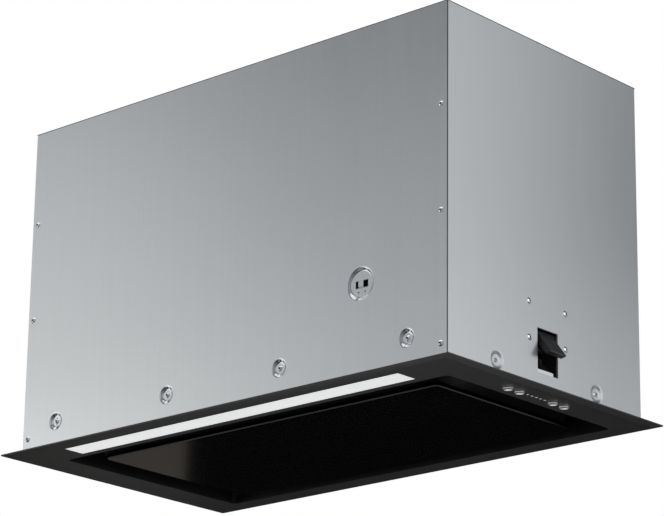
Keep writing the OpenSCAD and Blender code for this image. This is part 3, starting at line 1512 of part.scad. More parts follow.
// Lead from the button board to the right-hand end of the light bar
module light_lead() {
  y0 = light_y + lead_bend;
  y1 = -control_l / 2 + control_wall + 1;
  color("gray") union() {
    translate([lead_x, y0, lead_low_z]) rotate([-90, 0, 0]) straight(y1 - y0);
    translate([lead_x - lead_bend, y0, lead_low_z]) rotate([0, 0, -90]) quarter_bend();
    translate([channel_w / 2 - 2, light_y, lead_low_z]) rotate([0, 90, 0])
      straight(lead_x - lead_bend - channel_w / 2 + 2);
  }
}

// Lead from the control box over the blower to the motor
module motor_lead() {
  y = box_y - motor_lead_y;
  x0 = box_x + box_w / 2 - 3 * box_t;
  x1 = motor_x1 + 20;
  z1 = fan_z + 12;
  x2 = motor_x1 + bracket_arm_t;
  color("gray") union() {
    translate([x0, y, lead_z]) rotate([0, 90, 0]) straight(x1 - x0);
    translate([x1, y, lead_z - lead_bend]) rotate([90, 0, 0]) quarter_bend();
    translate([x1 + lead_bend, y, z1 + lead_bend]) straight(lead_z - z1 - 2 * lead_bend);
    translate([x1, y, z1 + lead_bend]) rotate([90, 0, 0]) rotate([0, 0, -90]) quarter_bend();
    translate([x2, y, z1]) rotate([0, 90, 0]) straight(x1 - x2);
  }
}

front_panel();
back_panel();
left_side_panel();
right_side_panel();
top_panel();
edge_rivets();
seat_rivets();
top_rivets();
flange_frame();
intake_tray();
glass_panel();
panel_tray();
hinge_arms();
hinge_pins();
panel_catches();
filter_frame();
filter_mesh();
filter_latch();
light_channel();
light_end_caps();
led_board();
light_diffuser();
control_housing();
button_board();
indicator_lenses();
light_button();
slower_button();
faster_button();
power_button();
left_clamp_bracket();
right_clamp_bracket();
left_clamp_lever();
right_clamp_lever();
clamp_pins();
left_clamp_spring();
right_clamp_spring();
clamp_rivets();
duct_collar();
collar_screws();
damper_pin();
front_damper_flap();
back_damper_flap();
outlet_adapter();
blower_housing_left();
blower_housing_right();
impeller();
motor_shaft();
motor();
motor_bracket();
blower_screws();
control_box();
control_box_cover();
power_board();
run_capacitor();
cable_gland();
gland_nut();
control_lead();
lead_grommet();
light_lead();
motor_lead();
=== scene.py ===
import bpy
import bmesh
import json
import math
from mathutils import Matrix, Quaternion, Vector


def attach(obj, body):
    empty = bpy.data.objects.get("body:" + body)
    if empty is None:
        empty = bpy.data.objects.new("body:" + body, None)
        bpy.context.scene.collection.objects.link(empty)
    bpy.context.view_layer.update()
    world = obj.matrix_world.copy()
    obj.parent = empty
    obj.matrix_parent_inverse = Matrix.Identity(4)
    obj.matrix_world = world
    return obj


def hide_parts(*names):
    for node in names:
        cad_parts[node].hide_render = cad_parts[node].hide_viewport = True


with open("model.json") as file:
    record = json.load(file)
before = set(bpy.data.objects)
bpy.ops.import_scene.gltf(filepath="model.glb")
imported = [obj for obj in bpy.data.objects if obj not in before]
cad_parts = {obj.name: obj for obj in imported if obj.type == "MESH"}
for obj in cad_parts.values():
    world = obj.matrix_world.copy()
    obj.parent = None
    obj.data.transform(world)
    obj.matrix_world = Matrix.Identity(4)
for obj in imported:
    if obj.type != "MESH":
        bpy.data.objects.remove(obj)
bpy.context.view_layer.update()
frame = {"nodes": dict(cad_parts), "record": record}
nodes = frame["nodes"]
bodies = frame["record"]["behaviour"]["bodies"]
bodyOf = {node: body for body, members in bodies.items() for node in members}
slotOf = {row["node"]: row["material_slot"] for row in frame["record"]["subparts"]}
mm = 0.001
# vertices closer than this, in metres, are one
weld = 0.000002
print("model loaded:", len(nodes), "nodes")

# camera at the photograph's angle, below the hood and to its right
view = {
    "place": (1.6414, -1.8117, -0.6333),
    "azimuth": 42.058,
    "elevation": -18.189,
    "roll": 0.82,
    "lens": 156.37,
    "clip": (0.05, 50),
}


def makeCamera():
    turn, lift = math.radians(view["azimuth"]), math.radians(view["elevation"])
    back = Vector((math.sin(turn) * math.cos(lift), -math.cos(turn) * math.cos(lift), math.sin(lift)))
    camera = bpy.data.objects.new("camera", bpy.data.cameras.new("camera"))
    camera.data.lens = view["lens"]
    camera.data.clip_start, camera.data.clip_end = view["clip"]
    camera.rotation_mode = "QUATERNION"
    aim = (-back).to_track_quat("-Z", "Y")
    camera.rotation_quaternion = aim @ Quaternion((0, 0, 1), math.radians(view["roll"]))
    camera.location = view["place"]
    bpy.context.scene.collection.objects.link(camera)
    bpy.context.scene.camera = camera


makeCamera()
print("camera set")


# shader groups that the finishes share: each has its own input and gives a tone, a gloss and a relief
def newGroup(name, label, kind):
    group = bpy.data.node_groups.new(name, "ShaderNodeTree")
    group.interface.new_socket(name="Vector", in_out="INPUT", socket_type="NodeSocketVector")
    group.interface.new_socket(name=label, in_out="INPUT", socket_type=kind)
    for result in ("Tone", "Gloss", "Relief"):
        group.interface.new_socket(name=result, in_out="OUTPUT", socket_type="NodeSocketFloat")
    return group, group.nodes.new("NodeGroupInput"), group.nodes.new("NodeGroupOutput")


def feed(tree, value, socket):
    if isinstance(value, bpy.types.NodeSocket):
        tree.links.new(value, socket)
    else:
        socket.default_value = value


def noise(tree, vector, scale, detail=3.0, rough=0.5):
    node = tree.nodes.new("ShaderNodeTexNoise")
    for key, value in (("Vector", vector), ("Scale", scale), ("Detail", detail), ("Roughness", rough)):
        feed(tree, value, node.inputs[key])
    return node.outputs["Fac"]


def maths(tree, kind, first, second):
    node = tree.nodes.new("ShaderNodeMath")
    node.operation = kind
    feed(tree, first, node.inputs[0])
    feed(tree, second, node.inputs[1])
    return node.outputs["Value"]


def blended(tree, first, second, share):
    part = maths(tree, "MULTIPLY", first, share)
    return maths(tree, "ADD", part, maths(tree, "MULTIPLY", second, 1 - share))


def remap(tree, value, low, high, outLow=0.0, outHigh=1.0):
    node = tree.nodes.new("ShaderNodeMapRange")
    for key, amount in (("From Min", low), ("From Max", high), ("To Min", outLow), ("To Max", outHigh)):
        node.inputs[key].default_value = amount
    tree.links.new(value, node.inputs["Value"])
    return node.outputs["Result"]


def stretched(tree, vector, scale):
    node = tree.nodes.new("ShaderNodeVectorMath")
    node.operation = "MULTIPLY"
    feed(tree, vector, node.inputs[0])
    feed(tree, scale, node.inputs[1])
    return node.outputs["Vector"]


# rolled lines, zinc flowers and soft clouds of a galvanised sheet
sheetSkin = {
    "line_detail": 4.0,
    "line_rough": 0.6,
    "flowers": 130.0,
    "spangle": 0.03,
    "cloud": 5.0,
    "cloud_detail": 2.0,
    "lines_in_tone": 0.6,
}


def makeRolledSheet():
    group, given, out = newGroup("rolledSheet", "Across", "NodeSocketVector")
    vector = given.outputs["Vector"]
    lined = stretched(group, vector, given.outputs["Across"])
    streak = noise(group, lined, 1.0, sheetSkin["line_detail"], sheetSkin["line_rough"])
    flowers = group.nodes.new("ShaderNodeTexVoronoi")
    flowers.inputs["Scale"].default_value = sheetSkin["flowers"]
    group.links.new(vector, flowers.inputs["Vector"])
    spangle = maths(group, "MULTIPLY", flowers.outputs["Color"], sheetSkin["spangle"])
    cloud = noise(group, vector, sheetSkin["cloud"], sheetSkin["cloud_detail"])
    tone = maths(group, "ADD", blended(group, streak, cloud, sheetSkin["lines_in_tone"]), spangle)
    group.links.new(tone, out.inputs["Tone"])
    group.links.new(tone, out.inputs["Gloss"])
    group.links.new(streak, out.inputs["Relief"])
    return group


# fine spark-eroded skin of a moulding, with faint flow clouds
mouldSkin = {"cloud": 22.0, "grain_in_tone": 0.4, "cloud_in_gloss": 0.7}


def makeMouldedSkin():
    group, given, out = newGroup("mouldedSkin", "Grain", "NodeSocketFloat")
    vector = given.outputs["Vector"]
    grain = noise(group, vector, given.outputs["Grain"])
    cloud = noise(group, vector, mouldSkin["cloud"])
    group.links.new(blended(group, grain, cloud, mouldSkin["grain_in_tone"]), out.inputs["Tone"])
    group.links.new(blended(group, cloud, grain, mouldSkin["cloud_in_gloss"]), out.inputs["Gloss"])
    group.links.new(grain, out.inputs["Relief"])
    return group


# orange peel, dust and hairline rubs of a sprayed coat
coatSkin = {
    "peel_detail": 2.0,
    "dust": 900.0,
    "dust_detail": 1.0,
    "dust_from": 0.66,
    "dust_to": 0.72,
    "cloud": 9.0,
    "rub": (60.0, 1500.0, 60.0),
    "rub_detail": 2.0,
    "rub_from": 0.6,
    "rub_to": 0.75,
    "cloud_in_tone": 0.7,
    "cloud_in_gloss": 0.6,
}


def makeSprayedCoat():
    group, given, out = newGroup("sprayedCoat", "Peel", "NodeSocketFloat")
    vector = given.outputs["Vector"]
    peel = noise(group, vector, given.outputs["Peel"], coatSkin["peel_detail"])
    specks = noise(group, vector, coatSkin["dust"], coatSkin["dust_detail"])
    dust = remap(group, specks, coatSkin["dust_from"], coatSkin["dust_to"])
    cloud = noise(group, vector, coatSkin["cloud"])
    hairs = noise(group, stretched(group, vector, coatSkin["rub"]), 1.0, coatSkin["rub_detail"])
    rub = remap(group, hairs, coatSkin["rub_from"], coatSkin["rub_to"])
    group.links.new(blended(group, cloud, dust, coatSkin["cloud_in_tone"]), out.inputs["Tone"])
    group.links.new(blended(group, cloud, rub, coatSkin["cloud_in_gloss"]), out.inputs["Gloss"])
    group.links.new(peel, out.inputs["Relief"])
    return group


skins = {"sheet": makeRolledSheet(), "mould": makeMouldedSkin(), "coat": makeSprayedCoat()}

# each finish: skin, dark and light colour, metal, roughness from and to, relief in metres,
# and the skin's own value
finishes = {
    "galvanised": {
        "skin": "sheet", "dark": (0.522, 0.546, 0.566), "light": (0.592, 0.616, 0.636), "metal": 0.9,
        "rough": (0.29, 0.345), "relief": 0.000003, "Across": (420.0, 420.0, 6.0),
    },
    "rivet_metal": {
        "skin": "sheet", "dark": (0.7, 0.71, 0.72), "light": (0.88, 0.89, 0.9), "metal": 1.0,
        "rough": (0.14, 0.22), "relief": 0.000008, "Across": (900.0, 900.0, 900.0),
    },
    "flange_black": {
        "skin": "coat", "dark": (0.0032, 0.0034, 0.0038), "light": (0.0055, 0.0058, 0.0063),
        "metal": 0.0, "rough": (0.36, 0.5), "relief": 0.00001, "Peel": 900.0,
    },
    "tray_dark": {
        "skin": "coat", "dark": (0.016, 0.0152, 0.0152), "light": (0.028, 0.0265, 0.0255), "metal": 0.3,
        "rough": (0.34, 0.48), "relief": 0.00001, "Peel": 800.0,
    },
    "black_glass": {
        "skin": "coat", "dark": (0.0003, 0.0003, 0.0003), "light": (0.0006, 0.0006, 0.0006),
        "metal": 0.0, "rough": (0.1, 0.14), "relief": 0.000001, "Peel": 60.0,
    },
    # ground line of the glass: lighter as ground glass, and its glow is a painted highlight along the edge
    "ground_line_painted_glint": {
        "skin": "mould", "dark": (0.2, 0.175, 0.155), "light": (0.3, 0.26, 0.235), "metal": 0.0,
        "rough": (0.45, 0.6), "relief": 0.000004, "Grain": 1800.0, "glow": 0.34,
    },
    "glass_bevel": {
        "skin": "mould", "dark": (0.006, 0.0055, 0.005), "light": (0.01, 0.009, 0.0085), "metal": 0.0,
        "rough": (0.75, 0.9), "relief": 0.000004, "Grain": 1800.0,
    },
    # dish walls of the front and back, glossier and a little darker than the sheet: painted shade in the
    # dishes
    "pressed_front_shade": {
        "skin": "sheet", "dark": (0.5, 0.52, 0.54), "light": (0.56, 0.58, 0.6), "metal": 0.95,
        "rough": (0.15, 0.2), "relief": 0.000003, "Across": (420.0, 420.0, 60.0),
    },
    # dish walls of the sides, darker and duller than the front's: painted shade that also damps their
    # highlights
    "pressed_side_shade": {
        "skin": "sheet", "dark": (0.46, 0.48, 0.5), "light": (0.52, 0.54, 0.56), "metal": 0.9,
        "rough": (0.32, 0.4), "relief": 0.000003, "Across": (420.0, 420.0, 60.0),
    },
    # bracket plate in the clamp window, lighter than its steel: a painted highlight
    "painted_highlight_plate": {
        "skin": "sheet", "dark": (0.68, 0.7, 0.72), "light": (0.8, 0.82, 0.84), "metal": 0.8,
        "rough": (0.3, 0.42), "relief": 0.000004, "Across": (500.0, 500.0, 60.0),
    },
    # bracket cheeks inside the window, the same steel made near-black: painted shade
    "shaded_steel": {
        "skin": "sheet", "dark": (0.02, 0.02, 0.021), "light": (0.035, 0.035, 0.037), "metal": 0.4,
        "rough": (0.45, 0.6), "relief": 0.000004, "Across": (500.0, 500.0, 60.0),
    },
    # cut ends of the front and back and the top panel's edge strip, near-black: painted shade of the seams
    "painted_shade_edge": {
        "skin": "sheet", "dark": (0.05, 0.05, 0.053), "light": (0.09, 0.09, 0.095), "metal": 0.4,
        "rough": (0.45, 0.6), "relief": 0.000004, "Across": (600.0, 600.0, 600.0),
    },
    # inside of a rivet's hole, near-black: painted shade of the bore
    "rivet_bore_shade": {
        "skin": "mould", "dark": (0.006, 0.006, 0.006), "light": (0.012, 0.012, 0.012), "metal": 0.0,
        "rough": (0.6, 0.75), "relief": 0.000004, "Grain": 1800.0,
    },
    "steel": {
        "skin": "sheet", "dark": (0.42, 0.42, 0.43), "light": (0.56, 0.56, 0.57), "metal": 1.0,
        "rough": (0.28, 0.4), "relief": 0.000008, "Across": (700.0, 60.0, 700.0),
    },
    "spring_steel": {
        "skin": "sheet", "dark": (0.2, 0.2, 0.21), "light": (0.33, 0.33, 0.34), "metal": 1.0,
        "rough": (0.25, 0.38), "relief": 0.000006, "Across": (800.0, 800.0, 60.0),
    },
    "catch_plastic": {
        "skin": "mould", "dark": (0.018, 0.018, 0.02), "light": (0.03, 0.03, 0.033), "metal": 0.0,
        "rough": (0.42, 0.55), "relief": 0.00001, "Grain": 2600.0,
    },
    "filter_metal": {
        "skin": "sheet", "dark": (0.6, 0.61, 0.62), "light": (0.78, 0.79, 0.8), "metal": 1.0,
        "rough": (0.26, 0.4), "relief": 0.000008, "Across": (60.0, 700.0, 700.0),
    },
    "latch_plastic": {
        "skin": "mould", "dark": (0.3, 0.305, 0.315), "light": (0.38, 0.385, 0.395), "metal": 0.0,
        "rough": (0.3, 0.42), "relief": 0.000006, "Grain": 2400.0,
    },
    "channel_metal": {
        "skin": "sheet", "dark": (0.66, 0.67, 0.68), "light": (0.82, 0.83, 0.84), "metal": 1.0,
        "rough": (0.22, 0.32), "relief": 0.000006, "Across": (20.0, 900.0, 900.0),
    },
    "white_plastic": {
        "skin": "mould", "dark": (0.72, 0.72, 0.7), "light": (0.8, 0.8, 0.79), "metal": 0.0,
        "rough": (0.35, 0.48), "relief": 0.000006, "Grain": 2400.0,
    },
    "opal": {
        "skin": "mould", "dark": (0.80, 0.82, 0.81), "light": (0.90, 0.91, 0.90), "metal": 0.0,
        "rough": (0.3, 0.4), "relief": 0.000006, "Grain": 1400.0, "glow": 0.56,
    },
    "circuit_white": {
        "skin": "mould", "dark": (0.78, 0.78, 0.74), "light": (0.86, 0.86, 0.83), "metal": 0.0,
        "rough": (0.28, 0.4), "relief": 0.000004, "Grain": 1800.0,
    },
    "circuit_green": {
        "skin": "mould", "dark": (0.008, 0.07, 0.025), "light": (0.015, 0.13, 0.045), "metal": 0.0,
        "rough": (0.25, 0.38), "relief": 0.00001, "Grain": 420.0,
    },
    "housing_plastic": {
        "skin": "mould", "dark": (0.018, 0.018, 0.02), "light": (0.028, 0.028, 0.031), "metal": 0.0,
        "rough": (0.45, 0.58), "relief": 0.00001, "Grain": 2400.0,
    },
    "lens_clear": {
        "skin": "mould", "dark": (0.5, 0.51, 0.52), "light": (0.62, 0.63, 0.64), "metal": 0.0,
        "rough": (0.12, 0.2), "relief": 0.000002, "Grain": 900.0, "coat": 0.4, "glow": 0.4,
    },
    "button_metal": {
        "skin": "sheet", "dark": (0.8, 0.8, 0.81), "light": (0.92, 0.92, 0.93), "metal": 1.0,
        "rough": (0.2, 0.28), "relief": 0.000004, "Across": (1500.0, 90.0, 300.0),
    },
    "lever_plastic": {
        "skin": "mould", "dark": (0.016, 0.016, 0.018), "light": (0.026, 0.026, 0.029), "metal": 0.0,
        "rough": (0.4, 0.52), "relief": 0.000014, "Grain": 2200.0,
    },
    "duct_plastic": {
        "skin": "mould", "dark": (0.035, 0.035, 0.038), "light": (0.052, 0.052, 0.056), "metal": 0.0,
        "rough": (0.42, 0.56), "relief": 0.000016, "Grain": 1600.0,
    },
    "blower_plastic": {
        "skin": "mould", "dark": (0.075, 0.078, 0.084), "light": (0.105, 0.108, 0.115), "metal": 0.0,
        "rough": (0.42, 0.55), "relief": 0.000016, "Grain": 1500.0,
    },
    "wheel_plastic": {
        "skin": "mould", "dark": (0.02, 0.02, 0.023), "light": (0.034, 0.034, 0.038), "metal": 0.0,
        "rough": (0.38, 0.5), "relief": 0.000012, "Grain": 1800.0,
    },
    "motor_metal": {
        "skin": "coat", "dark": (0.09, 0.09, 0.095), "light": (0.14, 0.14, 0.147), "metal": 0.5,
        "rough": (0.35, 0.48), "relief": 0.000014, "Peel": 600.0,
    },
    "box_plastic": {
        "skin": "mould", "dark": (0.6, 0.6, 0.565), "light": (0.68, 0.68, 0.645), "metal": 0.0,
        "rough": (0.42, 0.55), "relief": 0.000012, "Grain": 1700.0,
    },
    "capacitor_case": {
        "skin": "mould", "dark": (0.66, 0.66, 0.63), "light": (0.76, 0.76, 0.73), "metal": 0.0,
        "rough": (0.25, 0.35), "relief": 0.000004, "Grain": 900.0,
    },
    "gland_plastic": {
        "skin": "mould", "dark": (0.014, 0.014, 0.015), "light": (0.024, 0.024, 0.026), "metal": 0.0,
        "rough": (0.4, 0.55), "relief": 0.00001, "Grain": 2400.0,
    },
    "lead_sheath": {
        "skin": "mould", "dark": (0.13, 0.13, 0.135), "light": (0.19, 0.19, 0.195), "metal": 0.0,
        "rough": (0.4, 0.52), "relief": 0.00001, "Grain": 1200.0,
    },
}

# the part of a skin's gloss that the roughness follows, and how rough a clear coat is
finishSet = {"dull": 0.25, "glossy": 0.75, "coat_rough": 0.04}


def makeFinish(name, values):
    material = bpy.data.materials.new(name)
    material.use_nodes = True
    tree = material.node_tree
    shader = tree.nodes["Principled BSDF"]
    coords = tree.nodes.new("ShaderNodeTexCoord").outputs["Object"]
    skin = tree.nodes.new("ShaderNodeGroup")
    skin.node_tree = skins[values["skin"]]
    tree.links.new(coords, skin.inputs["Vector"])
    for key in ("Across", "Grain", "Peel"):
        if key in values:
            skin.inputs[key].default_value = values[key]
    blend = tree.nodes.new("ShaderNodeMix")
    blend.data_type = "RGBA"
    blend.inputs[6].default_value = (*values["dark"], 1)
    blend.inputs[7].default_value = (*values["light"], 1)
    tree.links.new(skin.outputs["Tone"], blend.inputs["Factor"])
    tree.links.new(blend.outputs[2], shader.inputs["Base Color"])
    rough = remap(tree, skin.outputs["Gloss"], finishSet["dull"], finishSet["glossy"], *values["rough"])
    tree.links.new(rough, shader.inputs["Roughness"])
    bump = tree.nodes.new("ShaderNodeBump")
    bump.inputs["Distance"].default_value = values["relief"]
    tree.links.new(skin.outputs["Relief"], bump.inputs["Height"])
    tree.links.new(bump.outputs["Normal"], shader.inputs["Normal"])
    shader.inputs["Metallic"].default_value = values["metal"]
    if "coat" in values:
        shader.inputs["Coat Weight"].default_value = values["coat"]
        shader.inputs["Coat Roughness"].default_value = finishSet["coat_rough"]
    # glow is lamp light for the light bar's diffuser and the indicator lenses, and a painted highlight on the
    # glass's ground line
    if "glow" in values:
        tree.links.new(blend.outputs[2], shader.inputs["Emission Color"])
        shader.inputs["Emission Strength"].default_value = values["glow"]
    return material


materials = {name: makeFinish(name, values) for name, values in finishes.items()}
for name, node in nodes.items():
    node.data.materials.clear()
    node.data.materials.append(materials[slotOf[name]])
print("finishes made:", len(materials))


def addPiece(name, mesh, node):
    piece = bpy.data.objects.new(name, mesh)
    bpy.context.scene.collection.objects.link(piece)
    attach(piece, bodyOf[node])
    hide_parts(node)
    return piece


def weldedShape(node):
    shape = bmesh.new()
    shape.from_mesh(nodes[node].data)
    bmesh.ops.remove_doubles(shape, verts=shape.verts, dist=weld)
    return shape


# a copy of a CAD node as whole faces: the triangles of a flat face are joined again
flatAngle = math.radians(1)


def wholeFaces(node):
    shape = weldedShape(node)
    bmesh.ops.dissolve_limit(shape, angle_limit=flatAngle, verts=shape.verts, edges=shape.edges)
    return shape


def shadeSmooth(mesh, sharp):
    mesh.shade_smooth()
    mesh.set_sharp_from_angle(angle=math.radians(sharp))


# which faces of a sheet get a painted shade or a painted highlight; a normal's part is 1 where it lies along
# that axis, and the places are distances from the middle, in millimetres
faceSet = {"sloped": 0.985, "across": 0.9, "upright": 0.3, "panel_end": 246.5, "plate": 245.5}


def isPressed(face):
    return max(abs(part) for part in face.normal) < faceSet["sloped"]


def isCutEnd(face):
    return abs(face.normal.x) > faceSet["across"] and abs(face.center.x) > faceSet["panel_end"] * mm


def isCutSide(face):
    return abs(face.normal.z) < faceSet["upright"]


def isPlate(face):
    return abs(face.center.x) > faceSet["plate"] * mm


def isCheek(face):
    return not isPlate(face)


# front dish walls take a darker painted shade, side dish walls a darker and duller painted shade
frontShadePaint = [("pressed_front_shade", isPressed), ("painted_shade_edge", isCutEnd)]
sideShadePaint = [("pressed_side_shade", isPressed)]
# the bracket's plate takes a painted highlight and its cheeks a painted shade
bracketHighlightAndShade = [("painted_highlight_plate", isPlate), ("shaded_steel", isCheek)]
# cut ends and the top panel's edge strip take a near-black painted shade
paints = {
    "front_panel": frontShadePaint,
    "back_panel": frontShadePaint,
    "left_side_panel": sideShadePaint,
    "right_side_panel": sideShadePaint,
    "top_panel": [("painted_shade_edge", isCutSide)],
    "left_clamp_bracket": bracketHighlightAndShade,
    "right_clamp_bracket": bracketHighlightAndShade,
}

# sheets and mouldings with broken edges: how wide each edge is, in millimetres, with 0 for none
softEdges = {
    "front_panel": 0.12,
    "back_panel": 0.12,
    "left_side_panel": 0.12,
    "right_side_panel": 0.12,
    "top_panel": 0.1,
    "flange_frame": 0.3,
    "light_diffuser": 0.2,
    "left_clamp_bracket": 0.1,
    "right_clamp_bracket": 0.1,
    "left_clamp_lever": 0.45,
    "right_clamp_lever": 0.45,
    "duct_collar": 0.4,
    "outlet_adapter": 0.0,
}
# degrees from which a face's border shades sharp and from which an edge is broken, and the bevel's segments
softSet = {"sharp": 30, "broken": 40, "segments": 2}


def makeSoftened(node, width):
    mesh = nodes[node].data.copy()
    shape = wholeFaces(node)
    shape.to_mesh(mesh)
    shape.free()
    shadeSmooth(mesh, softSet["sharp"])
    piece = addPiece(node + "_soft", mesh, node)
    if width:
        edge = piece.modifiers.new("edge", "BEVEL")
        edge.width = width
        edge.segments = softSet["segments"]
        edge.limit_method = "ANGLE"
        edge.angle_limit = math.radians(softSet["broken"])
        edge.harden_normals = True
    for index, (finish, fits) in enumerate(paints.get(node, ()), 1):
        mesh.materials.append(materials[finish])
        for face in (face for face in mesh.polygons if fits(face)):
            face.material_index = index
    level = piece.modifiers.new("level", "WEIGHTED_NORMAL")
    level.keep_sharp = True


for node, width in softEdges.items():
    makeSoftened(node, width * mm)
print("edges broken:", len(softEdges))

# hollow rivets, turned from one outline: radius and height from the head's seat, in millimetres
rivetSet = {
    "steps": 14,
    "head": [
        (0, -0.6), (0.95, -0.6), (0.95, 1.12), (1.1, 1.19), (1.6, 0.955),
        (2.3, 0.546), (2.75, 0.17), (2.9, 0), (1.6, 0),
    ],
    "tail": [(1.6, 0), (2.4, 0), (1.6, -2), (0, -2)],
    "proud": 1.19,
    "bulb": 2.0,
    "bore": 0.96,
    "reach": 2.0,
    "sharp": 40,
}


# the box of each separate solid of a node
def solidBoxes(node):
    shape = weldedShape(node)
    seen, boxes = set(), []
    for start in shape.verts:
        if start in seen:
            continue
        seen.add(start)
        waiting, spots = [start], []
        while waiting:
            vert = waiting.pop()
            spots.append(vert.co.copy())
            for other in (edge.other_vert(vert) for edge in vert.link_edges):
                if other not in seen:
                    seen.add(other)
                    waiting.append(other)
        boxes.append((Vector(map(min, *spots)), Vector(map(max, *spots))))
    shape.free()
    return boxes


# the axis along which a rivet's box is shortest: the rivet points that way
def rivetAxis(size):
    return min(range(3), key=lambda axis: size[axis])


def turnRivet(shape, low, high):
    size, middle = high - low, (low + high) / 2
    axis = rivetAxis(size)
    out = Vector([math.copysign(1, middle[i]) if i == axis else 0 for i in range(3)])
    seat = middle + out * (size[axis] / 2 - rivetSet["proud"] * mm)
    grip = size[axis] / mm - rivetSet["proud"] - rivetSet["bulb"]
    outline = rivetSet["head"] + [(radius, height - grip) for radius, height in rivetSet["tail"]]
    verts = [shape.verts.new((radius * mm, 0, height * mm)) for radius, height in outline]
    edges = [shape.edges.new(pair) for pair in zip(verts, verts[1:])]
    bmesh.ops.spin(
        shape,
        geom=verts + edges,
        cent=(0, 0, 0),
        axis=(0, 0, 1),
        angle=2 * math.pi,
        steps=rivetSet["steps"],
        use_merge=True,
    )
    fresh = [vert for vert in shape.verts if not vert.tag]
    place = Matrix.Translation(seat) @ out.to_track_quat("Z", "X").to_matrix().to_4x4()
    bmesh.ops.transform(shape, verts=fresh, matrix=place)
    for vert in fresh:
        vert.tag = True


def isBore(face, boxes):
    spot = face.calc_center_median()
    low, high = min(boxes, key=lambda box: ((box[0] + box[1]) / 2 - spot).length)
    away = spot - (low + high) / 2
    near = away.length < rivetSet["reach"] * mm
    away[rivetAxis(high - low)] = 0
    return near and away.length < rivetSet["bore"] * mm


def makeRivets(node):
    boxes = solidBoxes(node)
    shape = bmesh.new()
    for low, high in boxes:
        turnRivet(shape, low, high)
    bmesh.ops.remove_doubles(shape, verts=shape.verts, dist=weld)
    bmesh.ops.recalc_face_normals(shape, faces=shape.faces)
    # the bore's faces get the near-black painted shade, the rest the rivet metal
    for face in shape.faces:
        face.material_index = 1 if isBore(face, boxes) else 0
    mesh = bpy.data.meshes.new(node + "_turned")
    shape.to_mesh(mesh)
    shape.free()
    shadeSmooth(mesh, rivetSet["sharp"])
    for name in (slotOf[node], "rivet_bore_shade"):
        mesh.materials.append(materials[name])
    addPiece(node + "_turned", mesh, node)


for node in ("edge_rivets", "seat_rivets", "top_rivets", "clamp_rivets"):
    makeRivets(node)
print("rivets turned")

# glass with a ground line round its lower face, in millimetres, and a dull chamfer;
# down and slope are the upward parts of the normals of that face and of the chamfer
glassSet = {"line": 0.9, "down": -0.99, "slope": -0.3, "sharp": 20}


def makeGlass():
    mesh = nodes["glass_panel"].data.copy()
    shape = wholeFaces("glass_panel")
    shape.normal_update()
    under = [face for face in shape.faces if face.normal.z < glassSet["down"]]
    width = glassSet["line"] * mm
    line = bmesh.ops.inset_region(shape, faces=under, thickness=width, use_even_offset=True)["faces"]
    shape.normal_update()
    for face in shape.faces:
        bevel = glassSet["down"] < face.normal.z < glassSet["slope"]
        face.material_index = 1 if face in line else 2 if bevel else 0
    shape.to_mesh(mesh)
    shape.free()
    shadeSmooth(mesh, glassSet["sharp"])
    mesh.materials.clear()
    # the ground line's finish glows: a painted highlight round the glass
    for name in ("black_glass", "ground_line_painted_glint", "glass_bevel"):
        mesh.materials.append(materials[name])
    addPiece("glass_face", mesh, "glass_panel")


makeGlass()
print("glass made")

# soft lamps, by place, size, power, aim and tint
warm, plain, cool, rosy = (1.0, 0.98, 0.955), (1.0, 1.0, 1.0), (0.955, 0.985, 1.0), (1.0, 0.9, 0.8)
frontLeft, rightFace, topFace = (-0.05, -0.13, 0.15), (0.25, 0, 0.15), (0, 0, 0.3)
frontMiddle, backFace, glass, ground = (0, -0.13, 0.15), (0, 0.1, 0.15), (-0.2, 0, 0), (-0.6, 0.9, -1)
lamps = {
    "left_low": {"at": (-1.6, -1.2, -0.1), "size": (1.3, 1.0), "power": 5.9, "to": frontLeft, "tint": warm},
    "left_near": {"at": (-1.1, -1.3, 0.15), "size": (1.0, 0.8), "power": 0.7, "to": frontLeft, "tint": warm},
    "left_far": {"at": (-2.2, -1.4, 0.7), "size": (1.6, 1.1), "power": 4, "to": frontLeft, "tint": warm},
    "left_upper": {"at": (-1.0, -0.9, 0.7), "size": (0.5, 0.5), "power": 0.2, "to": frontLeft, "tint": plain},
    "front": {"at": (-0.5, -2.0, 0.6), "size": (1.4, 1.1), "power": 2.7, "to": frontMiddle, "tint": plain},
    "front_top": {"at": (0, -1, 1.7), "size": (1.4, 0.8), "power": 5, "to": topFace, "tint": cool},
    "left_top": {"at": (-1.2, -0.5, 1.5), "size": (0.9, 0.9), "power": 4, "to": topFace, "tint": cool},
    "right_low": {"at": (1.3, 1.2, -0.1), "size": (1.9, 1.3), "power": 3.7, "to": rightFace, "tint": warm},
    "right_near": {"at": (1.4, 0.2, 0.4), "size": (2.0, 1.4), "power": 8.4, "to": rightFace, "tint": plain},
    "back_left": {"at": (-1.3, 1.5, 1.4), "size": (1.2, 1.0), "power": 2.5, "to": backFace, "tint": plain},
    "below_left": {"at": (-1.48, 1.1, -0.4), "size": (0.3, 0.4), "power": 0.05, "to": glass, "tint": rosy},
    "floor_glow": {"at": (-0.6, 0.9, -0.3), "size": (1.4, 1.4), "power": 6, "to": ground, "tint": plain},
}


def makeLamp(name, values):
    lamp = bpy.data.lights.new(name, "AREA")
    lamp.shape = "RECTANGLE"
    lamp.size, lamp.size_y = values["size"]
    lamp.energy = values["power"]
    lamp.color = values["tint"]
    thing = bpy.data.objects.new(name, lamp)
    thing.location = values["at"]
    thing.rotation_mode = "QUATERNION"
    thing.rotation_quaternion = (Vector(values["to"]) - Vector(values["at"])).to_track_quat("-Z", "Y")
    thing.visible_camera = False
    bpy.context.scene.collection.objects.link(thing)


for name, values in lamps.items():
    makeLamp(name, values)

